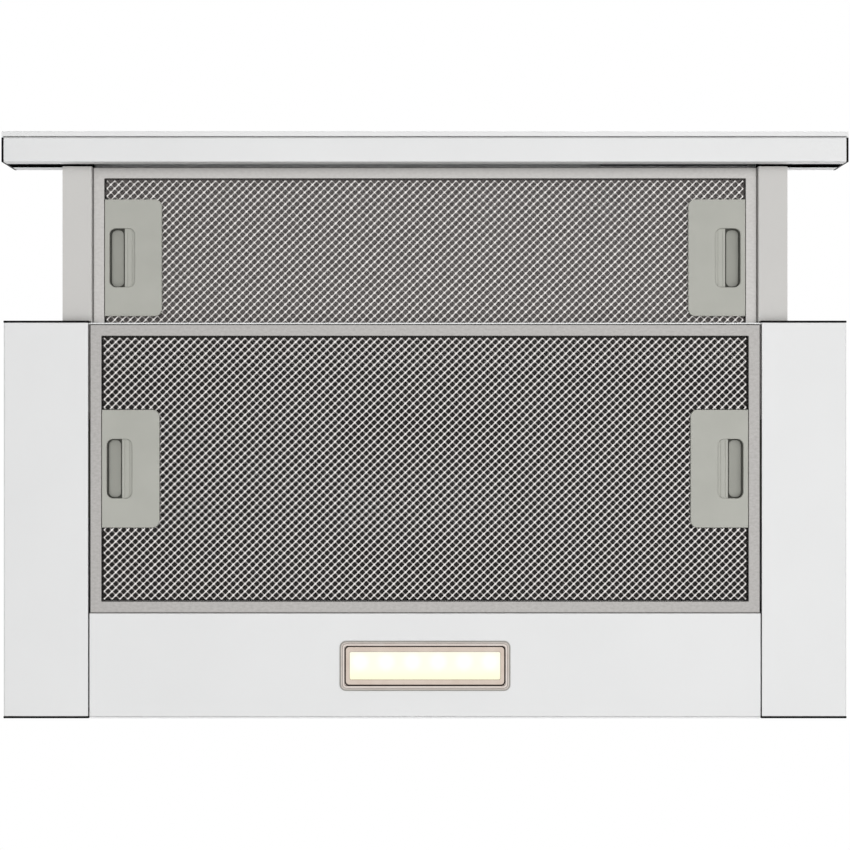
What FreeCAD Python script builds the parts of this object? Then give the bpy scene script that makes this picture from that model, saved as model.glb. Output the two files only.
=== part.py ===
import FreeCAD, Part
import math
import os

from FreeCAD import Vector

# A built-in range hood with a pull-out drawer, 60 cm wide, with its drawer drawn out.
# X runs across the hood, -Y to the front and +Z up. The origin is the centre of the four
# cabinet screw holes, on the top faces of the side wings, which meet the cabinet's base.

# Fixed body
hood_width = 600.0
body_depth = 283.0
skirt_height = 42.0
housing_height = 140.0
housing_setback = 11.0
housing_outset = 5.2
sheet = 1.0
wing_sheet = 1.2
wing_width = 60.2
wing_top_gap = 1.0
wing_end_cap = 1.5
cap_inset = 0.8
housing_flange_width = 13.0
deck_lip_gap = 2.0
lid_flange_height = 10.0

# Cabinet screw holes in the wings
cabinet_screw_radius = 2.3
cabinet_screw_inset = 29.0
cabinet_screw_setback = 50.0

# Clearances, and the overrun of every cut
running_clearance = 0.3
seam_clearance = 0.4
shaft_clearance = 0.05
overrun = 2.0

# Filter cassettes
filter_side_clearance = 1.6
filter_recess = 0.5
filter_thickness = 9.0
filter_border = 8.0
filter_sheet = 0.8
lamp_panel_depth = 74.7
drawer_filter_depth = 130.0
filter_level_gap = 2.5
drawer_filter_front_gap = 1.2
net_thickness = 2.4
net_pitch = 23.0
net_strand = 3.0

# Filter latches
latch_plate_width = 41.0
latch_plate_length = 84.0
latch_plate_thickness = 1.5
latch_plate_proud = 0.8
latch_plate_gap = 0.2
latch_corner_radius = 5.0
latch_wall = 1.5
finger_slot_width = 18.0
finger_slot_length = 42.2
finger_slot_radius = 4.5
finger_slot_edge = 3.5
bolt_thickness = 2.0
bolt_side_gap = 2.5
bolt_tongue_inset = 3.0
bolt_runner_gap = 0.9
bolt_reach = 5.3
bolt_shoulder = 0.4
bolt_nose_width = 4.8
bolt_bar_width = 13.0
bolt_ledge_width = 7.3
bolt_window_margin = 0.9
bolt_rib_height = 1.5
bolt_rib_width = 1.5
bolt_slot_clearance = 0.4
spring_strip = 0.7
spring_end_gap = 0.1
spring_height = 1.6
spring_folds = 6
spring_pitch = 4.0

# Front sill and lamp panel
sill_sheet = 1.0
sill_lip = 6.0
sill_ear_width = 12.0
sill_ear_height = 2.4
panel_lip = 8.0
panel_side_flange = 4.5
panel_rear_flange = 12.0

# Lamp
lamp_length = 121.5
lamp_width = 35.6
lamp_corner_radius = 4.5
lamp_proud = 1.0
lamp_rim = 3.4
lamp_collar_wall = 0.9
lamp_collar_height = 6.0
lamp_collar_clearance = 0.2
lamp_ledge_width = 2.2
lamp_ledge_thickness = 1.0
lens_recess = 0.4
lens_thickness = 2.0
lens_clearance = 0.4
led_board_thickness = 1.6
led_pitch = 18.0
led_count = 6
led_size = 5.0
led_height = 1.0

# Drawer
drawer_travel = 110.0
closed_gap = 2.0
trim_top_gap = 7.0
trim_drop = 6.0
trim_depth = 17.4
trim_lower_lip = 10.0
trim_upper_lip = 16.0
trim_end_cap = 1.5
fascia_thickness = 4.6
fascia_edge_radius = 1.0
rail_gap = 0.5
rail_width = 20.9
rail_sheet = 1.2
rail_length = 245.5
panel_edge_gap = 0.2
crossbar_depth = 13.9
crossbar_upright = 5.0

# Runners and glides
runner_side_clearance = 2.6
runner_sheet = 1.2
runner_bottom_gap = 2.4
runner_flange_inset = 3.3
runner_front_inset = 1.0
runner_rear_inset = 11.5
glide_length = 20.0
glide_inset = 6.0
glide_width = 12.0
glide_block_length = 8.0
glide_block_inset = 4.3
stop_tab_length = 2.0

# Push buttons in the fascia
button_count = 5
button_pitch = 20.0
button_group_inset = 120.0
button_width = 14.0
button_height = 9.0
button_radius = 1.5
button_proud = 1.5
button_rim = 1.2
button_flange = 1.4
button_travel = 2.0
control_box_margin = 6.0
control_box_height = 27.0

# Blower
impeller_side_clearance = 4.0
blower_floor_gap = 3.0
scroll_sheet = 1.0
scroll_step = 8.0
tongue_clearance = 4.0
outlet_neck = 22.0
outlet_flange = 5.0
impeller_width = 116.0
impeller_ring = 2.0
blade_count = 30
blade_depth = 9.0
blade_thickness = 1.0
blade_lean_degrees = 26.0
hub_disc = 2.0
hub_radius = 9.0
hub_length = 16.0
shaft_radius = 4.0
shaft_in_motor = 28.0
inlet_lap = 8.0
motor_drum_gap = 9.0
motor_standoff = 5.0
motor_hub_gap = 3.0
motor_chamfer = 4.0
bracket_sheet = 1.5
bracket_arms = 3
bracket_arm_width = 10.0
bracket_overlap = 11.0
bracket_foot = 6.0
bracket_disc_radius = 22.0

# Duct spigot and its two flaps
spigot_y = 20.0
spigot_radius = 60.0
spigot_wall = 2.2
spigot_height = 30.0
spigot_flange_width = 16.0
spigot_flange_thickness = 2.0
flap_height = 7.0
flap_thickness = 1.2
flap_rim_gap = 1.2
flap_pin_radius = 1.5
flap_pin_offset = 3.0
flap_pin_engagement = 1.6
flap_seat_width = 2.6
flap_seat_height = 1.6

# Electrics inside the housing
capacitor_radius = 15.0
capacitor_length = 48.0
capacitor_offset = 58.0
capacitor_setback = 70.5
capacitor_edge = 2.0
terminal_length = 60.0
terminal_width = 50.0
terminal_height = 30.0
terminal_radius = 3.0
gland_inset = 45.0
gland_setback = 56.5
gland_stem_radius = 8.0
gland_nut_radius = 12.0
gland_nut_height = 6.0
gland_dome_height = 6.0
gland_bore_radius = 4.0
gland_bore_depth = 12.0
switch_length = 20.0
switch_width = 6.5
switch_height = 10.0
switch_plunger_radius = 1.2
switch_setback = 48.0

# Pan head screws of the lid and the spigot
screw_radius = 2.0
screw_head_radius = 3.8
screw_head_height = 2.2
screw_length = 6.0
screw_hole_clearance = 0.15
lid_screw_pitch = 95.0
spigot_screw_offset = 10.0

# Places that follow from the sizes above
half_width = hood_width / 2
body_front = -body_depth / 2
body_rear = body_depth / 2
rear_panel_front = body_rear - sheet
wing_inner = half_width - wing_width
wing_front = body_front + wing_end_cap
wing_rear = body_rear - wing_end_cap
wing_floor = wing_sheet - skirt_height
cap_inner = wing_inner - cap_inset
inner_half = cap_inner - seam_clearance
housing_half = wing_inner + housing_outset
housing_front = body_front + housing_setback
wing_top_inner = housing_half + wing_top_gap
housing_flange_top = -wing_sheet
housing_flange_bottom = housing_flange_top - sheet
lid_bottom = housing_height - sheet
cabinet_screw_x = half_width - cabinet_screw_inset
cabinet_screw_y = wing_rear - cabinet_screw_setback

filter_half = wing_inner - filter_side_clearance
sill_rear = wing_front + sill_sheet
lamp_panel_front = body_rear - lamp_panel_depth
lamp_y = body_rear - lamp_panel_depth / 2
main_front = sill_rear + seam_clearance
main_rear = lamp_panel_front - seam_clearance
main_bottom = filter_recess - skirt_height
main_top = main_bottom + filter_thickness
lip_bottom = main_top + running_clearance
lip_top = lip_bottom + sheet
bolt_level = latch_plate_thickness - latch_plate_proud + running_clearance
bolt_length = latch_plate_length - 2 * latch_wall - 2 * bolt_side_gap
bolt_tongue_length = bolt_length - 2 * bolt_tongue_inset
spring_spread = spring_folds * spring_pitch

trim_back = body_front - closed_gap - drawer_travel
trim_front = trim_back - trim_depth
fascia_front = trim_front - fascia_thickness
trim_bottom = -skirt_height - trim_drop
trim_top = -trim_top_gap
drawer_bottom = main_top + filter_level_gap
drawer_top = drawer_bottom + filter_thickness
drawer_front = trim_back + drawer_filter_front_gap
drawer_rear = drawer_front + drawer_filter_depth
rail_inner = filter_half + rail_gap
rail_outer = rail_inner + rail_width
rail_top = trim_top - sheet
rail_rear = trim_back + rail_length
panel_half = rail_inner - panel_edge_gap

runner_outer = rail_outer + runner_side_clearance
runner_top = housing_flange_bottom
runner_roof = runner_top - runner_sheet
runner_underside = main_bottom + bolt_level + bolt_thickness + bolt_runner_gap
runner_floor = runner_underside + runner_sheet
rail_bottom = runner_floor + runner_bottom_gap
runner_front = wing_front + runner_front_inset
runner_rear = wing_rear - runner_rear_inset

button_group_x = half_width - button_group_inset
button_z = (trim_bottom + trim_top) / 2
button_back = trim_front + running_clearance + button_rim
control_front = button_back + button_travel + running_clearance

blower_half = impeller_width / 2 + impeller_side_clearance
scroll_floor = rail_top + blower_floor_gap + scroll_sheet
outlet_top = lid_bottom - scroll_sheet
scroll_radius = (outlet_top - outlet_neck - scroll_step - scroll_floor) / 2
impeller_radius = scroll_radius - tongue_clearance
inlet_radius = impeller_radius - inlet_lap
motor_radius = impeller_radius - blade_depth - motor_drum_gap
outlet_depth = scroll_radius + 3 * scroll_step
blower_y = spigot_y - outlet_depth / 2
blower_z = scroll_floor + scroll_radius + scroll_step
motor_start = hub_disc / 2 + motor_hub_gap
motor_end = blower_half + scroll_sheet + motor_standoff
bracket_reach = inlet_radius + bracket_overlap
spigot_bore = spigot_radius - spigot_wall
spigot_flange_radius = spigot_radius + spigot_flange_width
spigot_screw_circle = spigot_radius + spigot_screw_offset
flap_plane = housing_height + flap_height

capacitor_x = blower_half + capacitor_offset
capacitor_y = housing_front + capacitor_setback
gland_x = housing_half - gland_inset
gland_y = body_rear - gland_setback
switch_y = rail_rear + switch_setback


def block(x0, x1, y0, y1, z0, z1):
    return Part.makeBox(x1 - x0, y1 - y0, z1 - z0, Vector(x0, y0, z0))


def upright(radius, x, y, z0, z1):
    return Part.makeCylinder(radius, z1 - z0, Vector(x, y, z0), Vector(0, 0, 1))


def crosswise(radius, x0, x1, y, z):
    return Part.makeCylinder(radius, x1 - x0, Vector(x0, y, z), Vector(1, 0, 0))


def join(first, *others):
    return first.fuse(list(others)).removeSplitter()


def cut(shape, *tools):
    return shape.cut(list(tools))


def mirrored(shape):
    return shape.mirror(Vector(0, 0, 0), Vector(1, 0, 0))


def both_sides(shape):
    return [shape, mirrored(shape)]


def is_upright(edge):
    run = edge.Vertexes[-1].Point - edge.Vertexes[0].Point
    return len(edge.Vertexes) == 2 and abs(run.x) + abs(run.y) < abs(run.z)


def rounded_block(x0, x1, y0, y1, z0, z1, radius):
    shape = block(x0, x1, y0, y1, z0, z1)
    return shape.makeFillet(radius, [e for e in shape.Edges if is_upright(e)])


def profile_along_x(points, x0, x1):
    corners = [Vector(x0, y, z) for y, z in points]
    face = Part.Face(Part.makePolygon(corners + corners[:1]))
    return face.extrude(Vector(x1 - x0, 0, 0))


def profile_along_y(points, y0, y1):
    corners = [Vector(x, y0, z) for x, z in points]
    face = Part.Face(Part.makePolygon(corners + corners[:1]))
    return face.extrude(Vector(0, y1 - y0, 0))


def save(name, *solids):
    shape = solids[0] if len(solids) == 1 else Part.makeCompound(list(solids))
    shape.exportStep("parts/" + name + ".step")


# Side wings: folded steel profiles that carry the hood on the cabinet's base
def wing_cover():
    profile = [
        (wing_inner, -skirt_height),
        (half_width, -skirt_height),
        (half_width, 0),
        (wing_top_inner, 0),
        (wing_top_inner, -wing_sheet),
        (half_width - wing_sheet, -wing_sheet),
        (half_width - wing_sheet, wing_floor),
        (wing_inner, wing_floor),
    ]
    wing = profile_along_y(profile, wing_front, wing_rear)
    holes = [
        upright(cabinet_screw_radius, cabinet_screw_x, y, -wing_sheet - overrun, overrun)
        for y in (-cabinet_screw_y, cabinet_screw_y)
    ]
    return cut(wing, *holes)


def wing_end_caps():
    front = block(cap_inner, half_width, body_front, wing_front, -skirt_height, 0)
    window = block(
        cap_inner - overrun,
        runner_outer,
        body_front - overrun,
        wing_front + overrun,
        rail_bottom - 2 * running_clearance,
        rail_top + 2 * running_clearance,
    )
    rear = block(cap_inner, half_width, wing_rear, body_rear, -skirt_height, 0)
    return both_sides(cut(front, window)) + both_sides(rear)


# Lamp panel: the white plate behind the main filter, flanged on all four edges
def lamp_panel():
    floor_top = sheet - skirt_height
    plate = block(
        -cap_inner, cap_inner, lamp_panel_front, rear_panel_front, -skirt_height, floor_top
    )
    front = block(
        -filter_half,
        filter_half,
        lamp_panel_front,
        lamp_panel_front + sheet,
        floor_top,
        lip_top,
    )
    lip = block(
        -filter_half, filter_half, lamp_panel_front - panel_lip, lamp_panel_front, lip_bottom, lip_top
    )
    rear = block(
        -cap_inner + seam_clearance,
        cap_inner - seam_clearance,
        rear_panel_front - sheet,
        rear_panel_front,
        floor_top,
        floor_top + panel_rear_flange,
    )
    side = block(
        cap_inner - sheet,
        cap_inner,
        lamp_panel_front,
        rear_panel_front - wing_end_cap,
        floor_top,
        floor_top + panel_side_flange,
    )
    panel = join(plate, front, lip, rear, *both_sides(side))
    return cut(panel, lamp_collar(lamp_collar_clearance, overrun))


# Front sill: the strip that closes the skirt in front of the main filter
def front_sill():
    strip = block(-inner_half, inner_half, wing_front, sill_rear, -skirt_height, lip_top)
    lip = block(-inner_half, inner_half, wing_front, sill_rear + sill_lip, lip_bottom, lip_top)
    ear_end = wing_inner + sill_ear_width
    ears = block(
        -ear_end, ear_end, wing_front, sill_rear, wing_floor, wing_floor + sill_ear_height
    )
    return join(strip, lip, ears)


# Lamp: bezel with a collar through the panel, frosted lens and LED board
def lamp_outline(margin, z0, z1, radius):
    return rounded_block(
        -lamp_length / 2 - margin,
        lamp_length / 2 + margin,
        lamp_y - lamp_width / 2 - margin,
        lamp_y + lamp_width / 2 + margin,
        z0,
        z1,
        radius,
    )


def lamp_collar(margin, reach):
    return lamp_outline(
        lamp_collar_wall - lamp_rim + margin,
        -skirt_height - reach,
        -skirt_height + lamp_collar_height + reach,
        lamp_corner_radius - lamp_rim + lamp_collar_wall,
    )


def lamp_bezel():
    rim_bottom = -skirt_height - lamp_proud
    collar_top = -skirt_height + lamp_collar_height
    inner_radius = lamp_corner_radius - lamp_rim
    ledge_bottom = rim_bottom + lens_recess + lens_thickness
    ledge_top = ledge_bottom + lamp_ledge_thickness
    body = join(
        lamp_outline(0, rim_bottom, -skirt_height, lamp_corner_radius), lamp_collar(0, 0)
    )
    seat = lamp_outline(-lamp_rim, rim_bottom - overrun, ledge_bottom, inner_radius)
    throat = lamp_outline(
        -lamp_rim - lamp_ledge_width, rim_bottom, collar_top + overrun, inner_radius
    )
    upper = lamp_outline(-lamp_rim, ledge_top, collar_top + overrun, inner_radius)
    return cut(body, seat, throat, upper)


def lamp_lens():
    bottom = -skirt_height - lamp_proud + lens_recess
    return lamp_outline(
        -lamp_rim - lens_clearance,
        bottom,
        bottom + lens_thickness,
        lamp_corner_radius - lamp_rim,
    )


def led_board():
    bottom = -skirt_height + lamp_collar_height
    board = lamp_outline(
        lamp_collar_wall - lamp_rim,
        bottom,
        bottom + led_board_thickness,
        lamp_corner_radius - lamp_rim,
    )
    half = led_size / 2
    leds = []
    for n in range(led_count):
        x = (n - (led_count - 1) / 2) * led_pitch
        leds.append(
            block(x - half, x + half, lamp_y - half, lamp_y + half, bottom - led_height, bottom)
        )
    return join(board, *leds)


# Motor housing: the sheet box that stands inside the cabinet
def housing_front_panel():
    wall = block(
        -housing_half, housing_half, housing_front - sheet, housing_front, -sheet, lid_bottom
    )
    deck = block(-inner_half, inner_half, body_front, housing_front, -sheet, 0)
    lip = block(
        -inner_half, inner_half, body_front, body_front + sheet, rail_top + deck_lip_gap, 0
    )
    return join(wall, deck, lip)


def housing_rear_panel():
    lower = block(-inner_half, inner_half, rear_panel_front, body_rear, -skirt_height, 0)
    upper = block(-housing_half, housing_half, rear_panel_front, body_rear, 0, lid_bottom)
    return join(lower, upper)


def lid_screw_places():
    return [spigot_y + n * lid_screw_pitch for n in (-1, 0, 1)]


def lid_screw_z():
    return lid_bottom - lid_flange_height / 2


def housing_side():
    inside = housing_half - sheet
    wall = block(inside, housing_half, housing_front, rear_panel_front, 0, lid_bottom)
    foot = block(inside, housing_half, housing_front, wing_rear, housing_flange_bottom, 0)
    flange = block(
        inside,
        housing_half + housing_flange_width,
        housing_front,
        wing_rear,
        housing_flange_bottom,
        housing_flange_top,
    )
    holes = [
        crosswise(
            screw_radius + screw_hole_clearance,
            inside - overrun,
            housing_half + overrun,
            y,
            lid_screw_z(),
        )
        for y in lid_screw_places()
    ]
    return cut(join(wall, foot, flange), *holes)


def spigot_screw_places():
    offset = spigot_screw_circle / math.sqrt(2)
    return [(x, spigot_y + y) for x in (-offset, offset) for y in (-offset, offset)]


def housing_lid():
    outside = housing_half + sheet
    front = housing_front - sheet
    plate = block(-outside, outside, front, body_rear, lid_bottom, housing_height)
    flange = block(
        housing_half, outside, front, body_rear, lid_bottom - lid_flange_height, lid_bottom
    )
    lid = join(plate, *both_sides(flange))
    low, high = lid_bottom - overrun, housing_height + overrun
    hole = screw_radius + screw_hole_clearance
    tools = [upright(spigot_bore, 0, spigot_y, low, high)]
    tools.append(upright(gland_stem_radius + screw_hole_clearance, gland_x, gland_y, low, high))
    tools += [upright(hole, x, y, low, high) for x, y in spigot_screw_places()]
    for y in lid_screw_places():
        tools.append(crosswise(hole, -outside - overrun, outside + overrun, y, lid_screw_z()))
    return cut(lid, *tools)


def screw_upright(x, y, z):
    head = upright(screw_head_radius, x, y, z, z + screw_head_height)
    return join(head, upright(screw_radius, x, y, z - screw_length, z))


def screw_crosswise(x, y, z):
    head = crosswise(screw_head_radius, x, x + screw_head_height, y, z)
    return join(head, crosswise(screw_radius, x - screw_length, x, y, z))


def housing_screws():
    screws = [
        screw_upright(x, y, housing_height + spigot_flange_thickness)
        for x, y in spigot_screw_places()
    ]
    for y in lid_screw_places():
        screws += both_sides(screw_crosswise(housing_half + sheet, y, lid_screw_z()))
    return screws


# Duct spigot, with a seat for the flaps and holes for their pins
def duct_spigot():
    top = housing_height + spigot_height
    flange = upright(
        spigot_flange_radius, 0, spigot_y, housing_height, housing_height + spigot_flange_thickness
    )
    tube = upright(spigot_radius, 0, spigot_y, housing_height, top)
    bore = upright(spigot_bore, 0, spigot_y, housing_height - overrun, top + overrun)
    seat_top = flap_plane - flap_thickness / 2 - running_clearance
    seat = upright(spigot_bore, 0, spigot_y, seat_top - flap_seat_height, seat_top)
    seat_hole = upright(spigot_bore - flap_seat_width, 0, spigot_y, housing_height, top)
    hole = screw_radius + screw_hole_clearance
    hole_bottom = housing_height - overrun
    hole_top = housing_height + spigot_flange_thickness + overrun
    tools = [upright(hole, x, y, hole_bottom, hole_top) for x, y in spigot_screw_places()]
    for side in (-1, 1):
        y = spigot_y + side * flap_pin_offset
        tools.append(
            crosswise(
                flap_pin_radius + shaft_clearance,
                -spigot_radius - overrun,
                spigot_radius + overrun,
                y,
                flap_plane,
            )
        )
        tools.append(
            crosswise(
                flap_pin_radius + running_clearance,
                -spigot_bore + flap_rim_gap / 2,
                spigot_bore - flap_rim_gap / 2,
                y,
                flap_plane,
            )
        )
    tube = cut(join(flange, tube), bore)
    return cut(join(tube, cut(seat, seat_hole)), *tools)


# One half-round flap with its pin, at the rear (side 1) or the front (side -1)
def backdraft_flap(side):
    axis_y = spigot_y + side * flap_pin_offset
    low = flap_plane - flap_thickness / 2
    disc = upright(spigot_bore - flap_rim_gap, 0, spigot_y, low, low + flap_thickness)
    far = axis_y + side * spigot_radius
    keep = block(
        -spigot_radius, spigot_radius, min(axis_y, far), max(axis_y, far), low, low + flap_thickness
    )
    pin_end = spigot_bore + flap_pin_engagement
    pin = crosswise(flap_pin_radius, -pin_end, pin_end, axis_y, flap_plane)
    return join(disc.common(keep), pin)


# Blower scroll: three quarter turns, each one step larger, then straight up to the outlet
def scroll_edges(offset):
    centres = [
        (blower_y + scroll_step, blower_z + scroll_step, scroll_radius + 2 * scroll_step),
        (blower_y + scroll_step, blower_z, scroll_radius + scroll_step),
        (blower_y, blower_z, scroll_radius),
    ]
    back_y = blower_y + outlet_depth + offset
    points = [Vector(0, back_y, outlet_top), Vector(0, back_y, blower_z + scroll_step)]
    edges = [Part.makeLine(points[0], points[1])]
    start = points[1]
    for n, (y, z, radius) in enumerate(centres):
        radius += offset
        first = -math.pi / 2 * n
        last = first - math.pi / 2
        if n == len(centres) - 1 and offset:
            last += math.asin(offset / radius)
        middle = (first + last) / 2
        halfway = Vector(0, y + radius * math.cos(middle), z + radius * math.sin(middle))
        end = Vector(0, y + radius * math.cos(last), z + radius * math.sin(last))
        edges.append(Part.Arc(start, halfway, end).toShape())
        start = end
    edges.append(Part.makeLine(start, Vector(0, start.y, outlet_top)))
    return edges


def scroll_ends(edges):
    return edges[0].Vertexes[0].Point, Vector(0, edges[-1].Vertexes[-1].Point.y, outlet_top)


def blower_scroll():
    inner, outer = scroll_edges(0), scroll_edges(scroll_sheet)
    (inner_back, inner_front), (outer_back, outer_front) = scroll_ends(inner), scroll_ends(outer)
    edges = inner + outer
    edges.append(Part.makeLine(inner_back, outer_back))
    edges.append(Part.makeLine(inner_front, outer_front))
    wire = Part.Wire(Part.__sortEdges__(edges))
    strip = Part.Face(wire).extrude(Vector(2 * blower_half, 0, 0))
    strip.translate(Vector(-blower_half, 0, 0))
    reach = scroll_sheet + outlet_flange
    rear = blower_y + outlet_depth
    flange = block(
        -blower_half - reach,
        blower_half + reach,
        blower_y - reach,
        rear + reach,
        outlet_top,
        lid_bottom,
    )
    hole = block(
        -blower_half,
        blower_half,
        blower_y,
        rear,
        outlet_top - overrun,
        lid_bottom + overrun,
    )
    screws = [
        upright(screw_radius + screw_hole_clearance, x, y, outlet_top - overrun, lid_bottom + overrun)
        for x, y in spigot_screw_places()
    ]
    return join(strip, cut(flange, hole, *screws))


def blower_side():
    edges = scroll_edges(scroll_sheet)
    edges.append(Part.makeLine(*scroll_ends(edges)))
    face = Part.Face(Part.Wire(Part.__sortEdges__(edges)))
    plate = face.extrude(Vector(scroll_sheet, 0, 0))
    plate.translate(Vector(blower_half, 0, 0))
    inlet = crosswise(
        inlet_radius,
        blower_half - overrun,
        blower_half + scroll_sheet + overrun,
        blower_y,
        blower_z,
    )
    return cut(plate, inlet)


# Impeller: leaning blades that stand in the slots of a hub disc, with a ring at each end
def impeller_blade(n):
    half = impeller_width / 2 - impeller_ring
    blade = block(
        -half, half, -blade_depth / 2, blade_depth / 2, -blade_thickness / 2, blade_thickness / 2
    )
    blade.rotate(Vector(0, 0, 0), Vector(1, 0, 0), blade_lean_degrees)
    blade.translate(Vector(0, blower_y + impeller_radius - blade_depth / 2, blower_z))
    blade.rotate(Vector(0, blower_y, blower_z), Vector(1, 0, 0), 360 * n / blade_count)
    return blade


def impeller():
    half = impeller_width / 2
    blades = [impeller_blade(n) for n in range(blade_count)]
    disc = crosswise(impeller_radius, -hub_disc / 2, hub_disc / 2, blower_y, blower_z)
    boss = crosswise(hub_radius, -hub_length, 0, blower_y, blower_z)
    bore = crosswise(shaft_radius, -hub_length - overrun, hub_disc + overrun, blower_y, blower_z)
    pieces = [cut(join(disc, boss), bore, *blades)] + blades
    for x in (-half, half - impeller_ring):
        ring = crosswise(impeller_radius, x, x + impeller_ring, blower_y, blower_z)
        hole = crosswise(
            impeller_radius - blade_depth, x, x + impeller_ring, blower_y, blower_z
        )
        pieces.append(cut(ring, hole))
    return pieces


def motor_shaft():
    return crosswise(
        shaft_radius, -hub_length, motor_start + shaft_in_motor, blower_y, blower_z
    )


def motor():
    body = crosswise(motor_radius, motor_start, motor_end, blower_y, blower_z)
    rims = [e for e in body.Edges if e.Closed]
    body = body.makeChamfer(motor_chamfer, rims)
    bore_end = motor_start + shaft_in_motor + running_clearance
    bore = crosswise(
        shaft_radius + shaft_clearance, motor_start - overrun, bore_end, blower_y, blower_z
    )
    return cut(body, bore)


# Motor bracket: a three-armed spider whose feet stand on the blower's right side plate
def motor_bracket():
    outside = motor_end + bracket_sheet
    pieces = []
    for n in range(bracket_arms):
        arm = block(
            motor_end, outside, -bracket_arm_width / 2, bracket_arm_width / 2, 0, bracket_reach
        )
        foot = block(
            blower_half + scroll_sheet,
            motor_end,
            -bracket_arm_width / 2,
            bracket_arm_width / 2,
            bracket_reach - bracket_foot,
            bracket_reach,
        )
        arm = join(arm, foot)
        arm.translate(Vector(0, blower_y, blower_z))
        arm.rotate(Vector(0, blower_y, blower_z), Vector(1, 0, 0), 360 * n / bracket_arms)
        pieces.append(arm)
    disc = crosswise(bracket_disc_radius, motor_end, outside, blower_y, blower_z)
    return join(disc, *pieces)


# Electrics hung under the lid, and the switch that the drawer works
def capacitor():
    can = upright(
        capacitor_radius, capacitor_x, capacitor_y, lid_bottom - capacitor_length, lid_bottom
    )
    rims = [e for e in can.Edges if e.Closed and e.CenterOfMass.z < lid_bottom - overrun]
    return can.makeFillet(capacitor_edge, rims)


def terminal_box():
    box = rounded_block(
        gland_x - terminal_length / 2,
        gland_x + terminal_length / 2,
        gland_y - terminal_width / 2,
        gland_y + terminal_width / 2,
        lid_bottom - terminal_height,
        lid_bottom,
        terminal_radius,
    )
    bore = upright(
        gland_bore_radius, gland_x, gland_y, lid_bottom - gland_bore_depth, lid_bottom + overrun
    )
    return cut(box, bore)


def cable_gland():
    nut_top = housing_height + gland_nut_height
    top = nut_top + gland_dome_height
    stem = upright(gland_stem_radius, gland_x, gland_y, lid_bottom, housing_height)
    nut = upright(gland_nut_radius, gland_x, gland_y, housing_height, nut_top)
    dome = Part.makeCone(
        gland_nut_radius,
        gland_stem_radius,
        gland_dome_height,
        Vector(gland_x, gland_y, nut_top),
        Vector(0, 0, 1),
    )
    bore = upright(
        gland_bore_radius, gland_x, gland_y, lid_bottom - overrun, top + overrun
    )
    return cut(join(stem, nut, dome), bore)


def drawer_switch():
    outside = housing_half - sheet
    body = block(
        outside - switch_width,
        outside,
        switch_y - switch_length / 2,
        switch_y + switch_length / 2,
        0,
        switch_height,
    )
    plunger = upright(
        switch_plunger_radius,
        outside - switch_width / 2,
        switch_y,
        rail_top + running_clearance,
        overrun,
    )
    return join(body, plunger)


# Runners: channels under the housing's flanges, open towards the middle
def runner():
    web_out = runner_outer + runner_sheet
    web = block(
        runner_outer, web_out, runner_front, runner_rear, runner_underside, runner_top
    )
    roof = block(wing_top_inner, web_out, runner_front, runner_rear, runner_roof, runner_top)
    floor = block(
        rail_inner + runner_flange_inset,
        web_out,
        runner_front,
        runner_rear,
        runner_underside,
        runner_floor,
    )
    tab_rear = rail_rear - running_clearance
    tab = block(
        wing_top_inner,
        wing_top_inner + glide_width,
        tab_rear - stop_tab_length,
        tab_rear,
        runner_floor,
        rail_bottom - 2 * running_clearance,
    )
    return join(web, roof, floor, tab)


def rail_glides():
    rear = runner_front + glide_length
    inner = rail_inner + glide_inset
    lower = block(
        inner,
        inner + glide_width,
        runner_front,
        rear,
        runner_floor,
        rail_bottom - running_clearance,
    )
    upper = block(
        wing_top_inner,
        wing_top_inner + glide_width,
        runner_front,
        rear,
        rail_top + running_clearance,
        runner_roof,
    )
    return both_sides(lower) + both_sides(upper)


# Drawer rails: channels open outwards, with an end plate against the trim
def drawer_rail():
    profile = [
        (rail_inner, rail_bottom),
        (rail_outer, rail_bottom),
        (rail_outer, rail_bottom + rail_sheet),
        (rail_inner + rail_sheet, rail_bottom + rail_sheet),
        (rail_inner + rail_sheet, rail_top - rail_sheet),
        (rail_outer, rail_top - rail_sheet),
        (rail_outer, rail_top),
        (rail_inner, rail_top),
    ]
    channel = profile_along_y(profile, trim_back, rail_rear)
    plate = block(
        rail_inner, rail_outer, trim_back, trim_back + rail_sheet, rail_bottom, rail_top
    )
    middle = (drawer_front + drawer_rear) / 2
    half = bolt_tongue_length / 2 + bolt_slot_clearance
    low = drawer_bottom + bolt_level
    window = block(
        rail_inner - overrun,
        rail_inner + rail_sheet + overrun,
        middle - half,
        middle + half,
        low - running_clearance,
        low + bolt_thickness + running_clearance,
    )
    return cut(join(channel, plate), window)


def drawer_glides():
    glide = block(
        rail_inner + glide_block_inset,
        runner_outer - running_clearance,
        rail_rear,
        rail_rear + glide_block_length,
        runner_floor + running_clearance,
        runner_roof - running_clearance,
    )
    return both_sides(glide)


def drawer_top_panel():
    low = drawer_top + running_clearance
    plate = block(-panel_half, panel_half, trim_back, drawer_rear, rail_top - sheet, rail_top)
    front = block(-panel_half, panel_half, trim_back, trim_back + sheet, low, rail_top)
    side = block(panel_half - sheet, panel_half, trim_back, drawer_rear, low, rail_top)
    return join(plate, front, *both_sides(side))


def drawer_crossbar():
    front = drawer_rear + seam_clearance
    rear = front + crossbar_depth
    base = block(-panel_half, panel_half, front, rear, drawer_bottom, drawer_bottom + sheet)
    upright_strip = block(
        -panel_half,
        panel_half,
        rear - sheet,
        rear,
        drawer_bottom,
        drawer_bottom + sheet + crossbar_upright,
    )
    return join(base, upright_strip)


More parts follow.
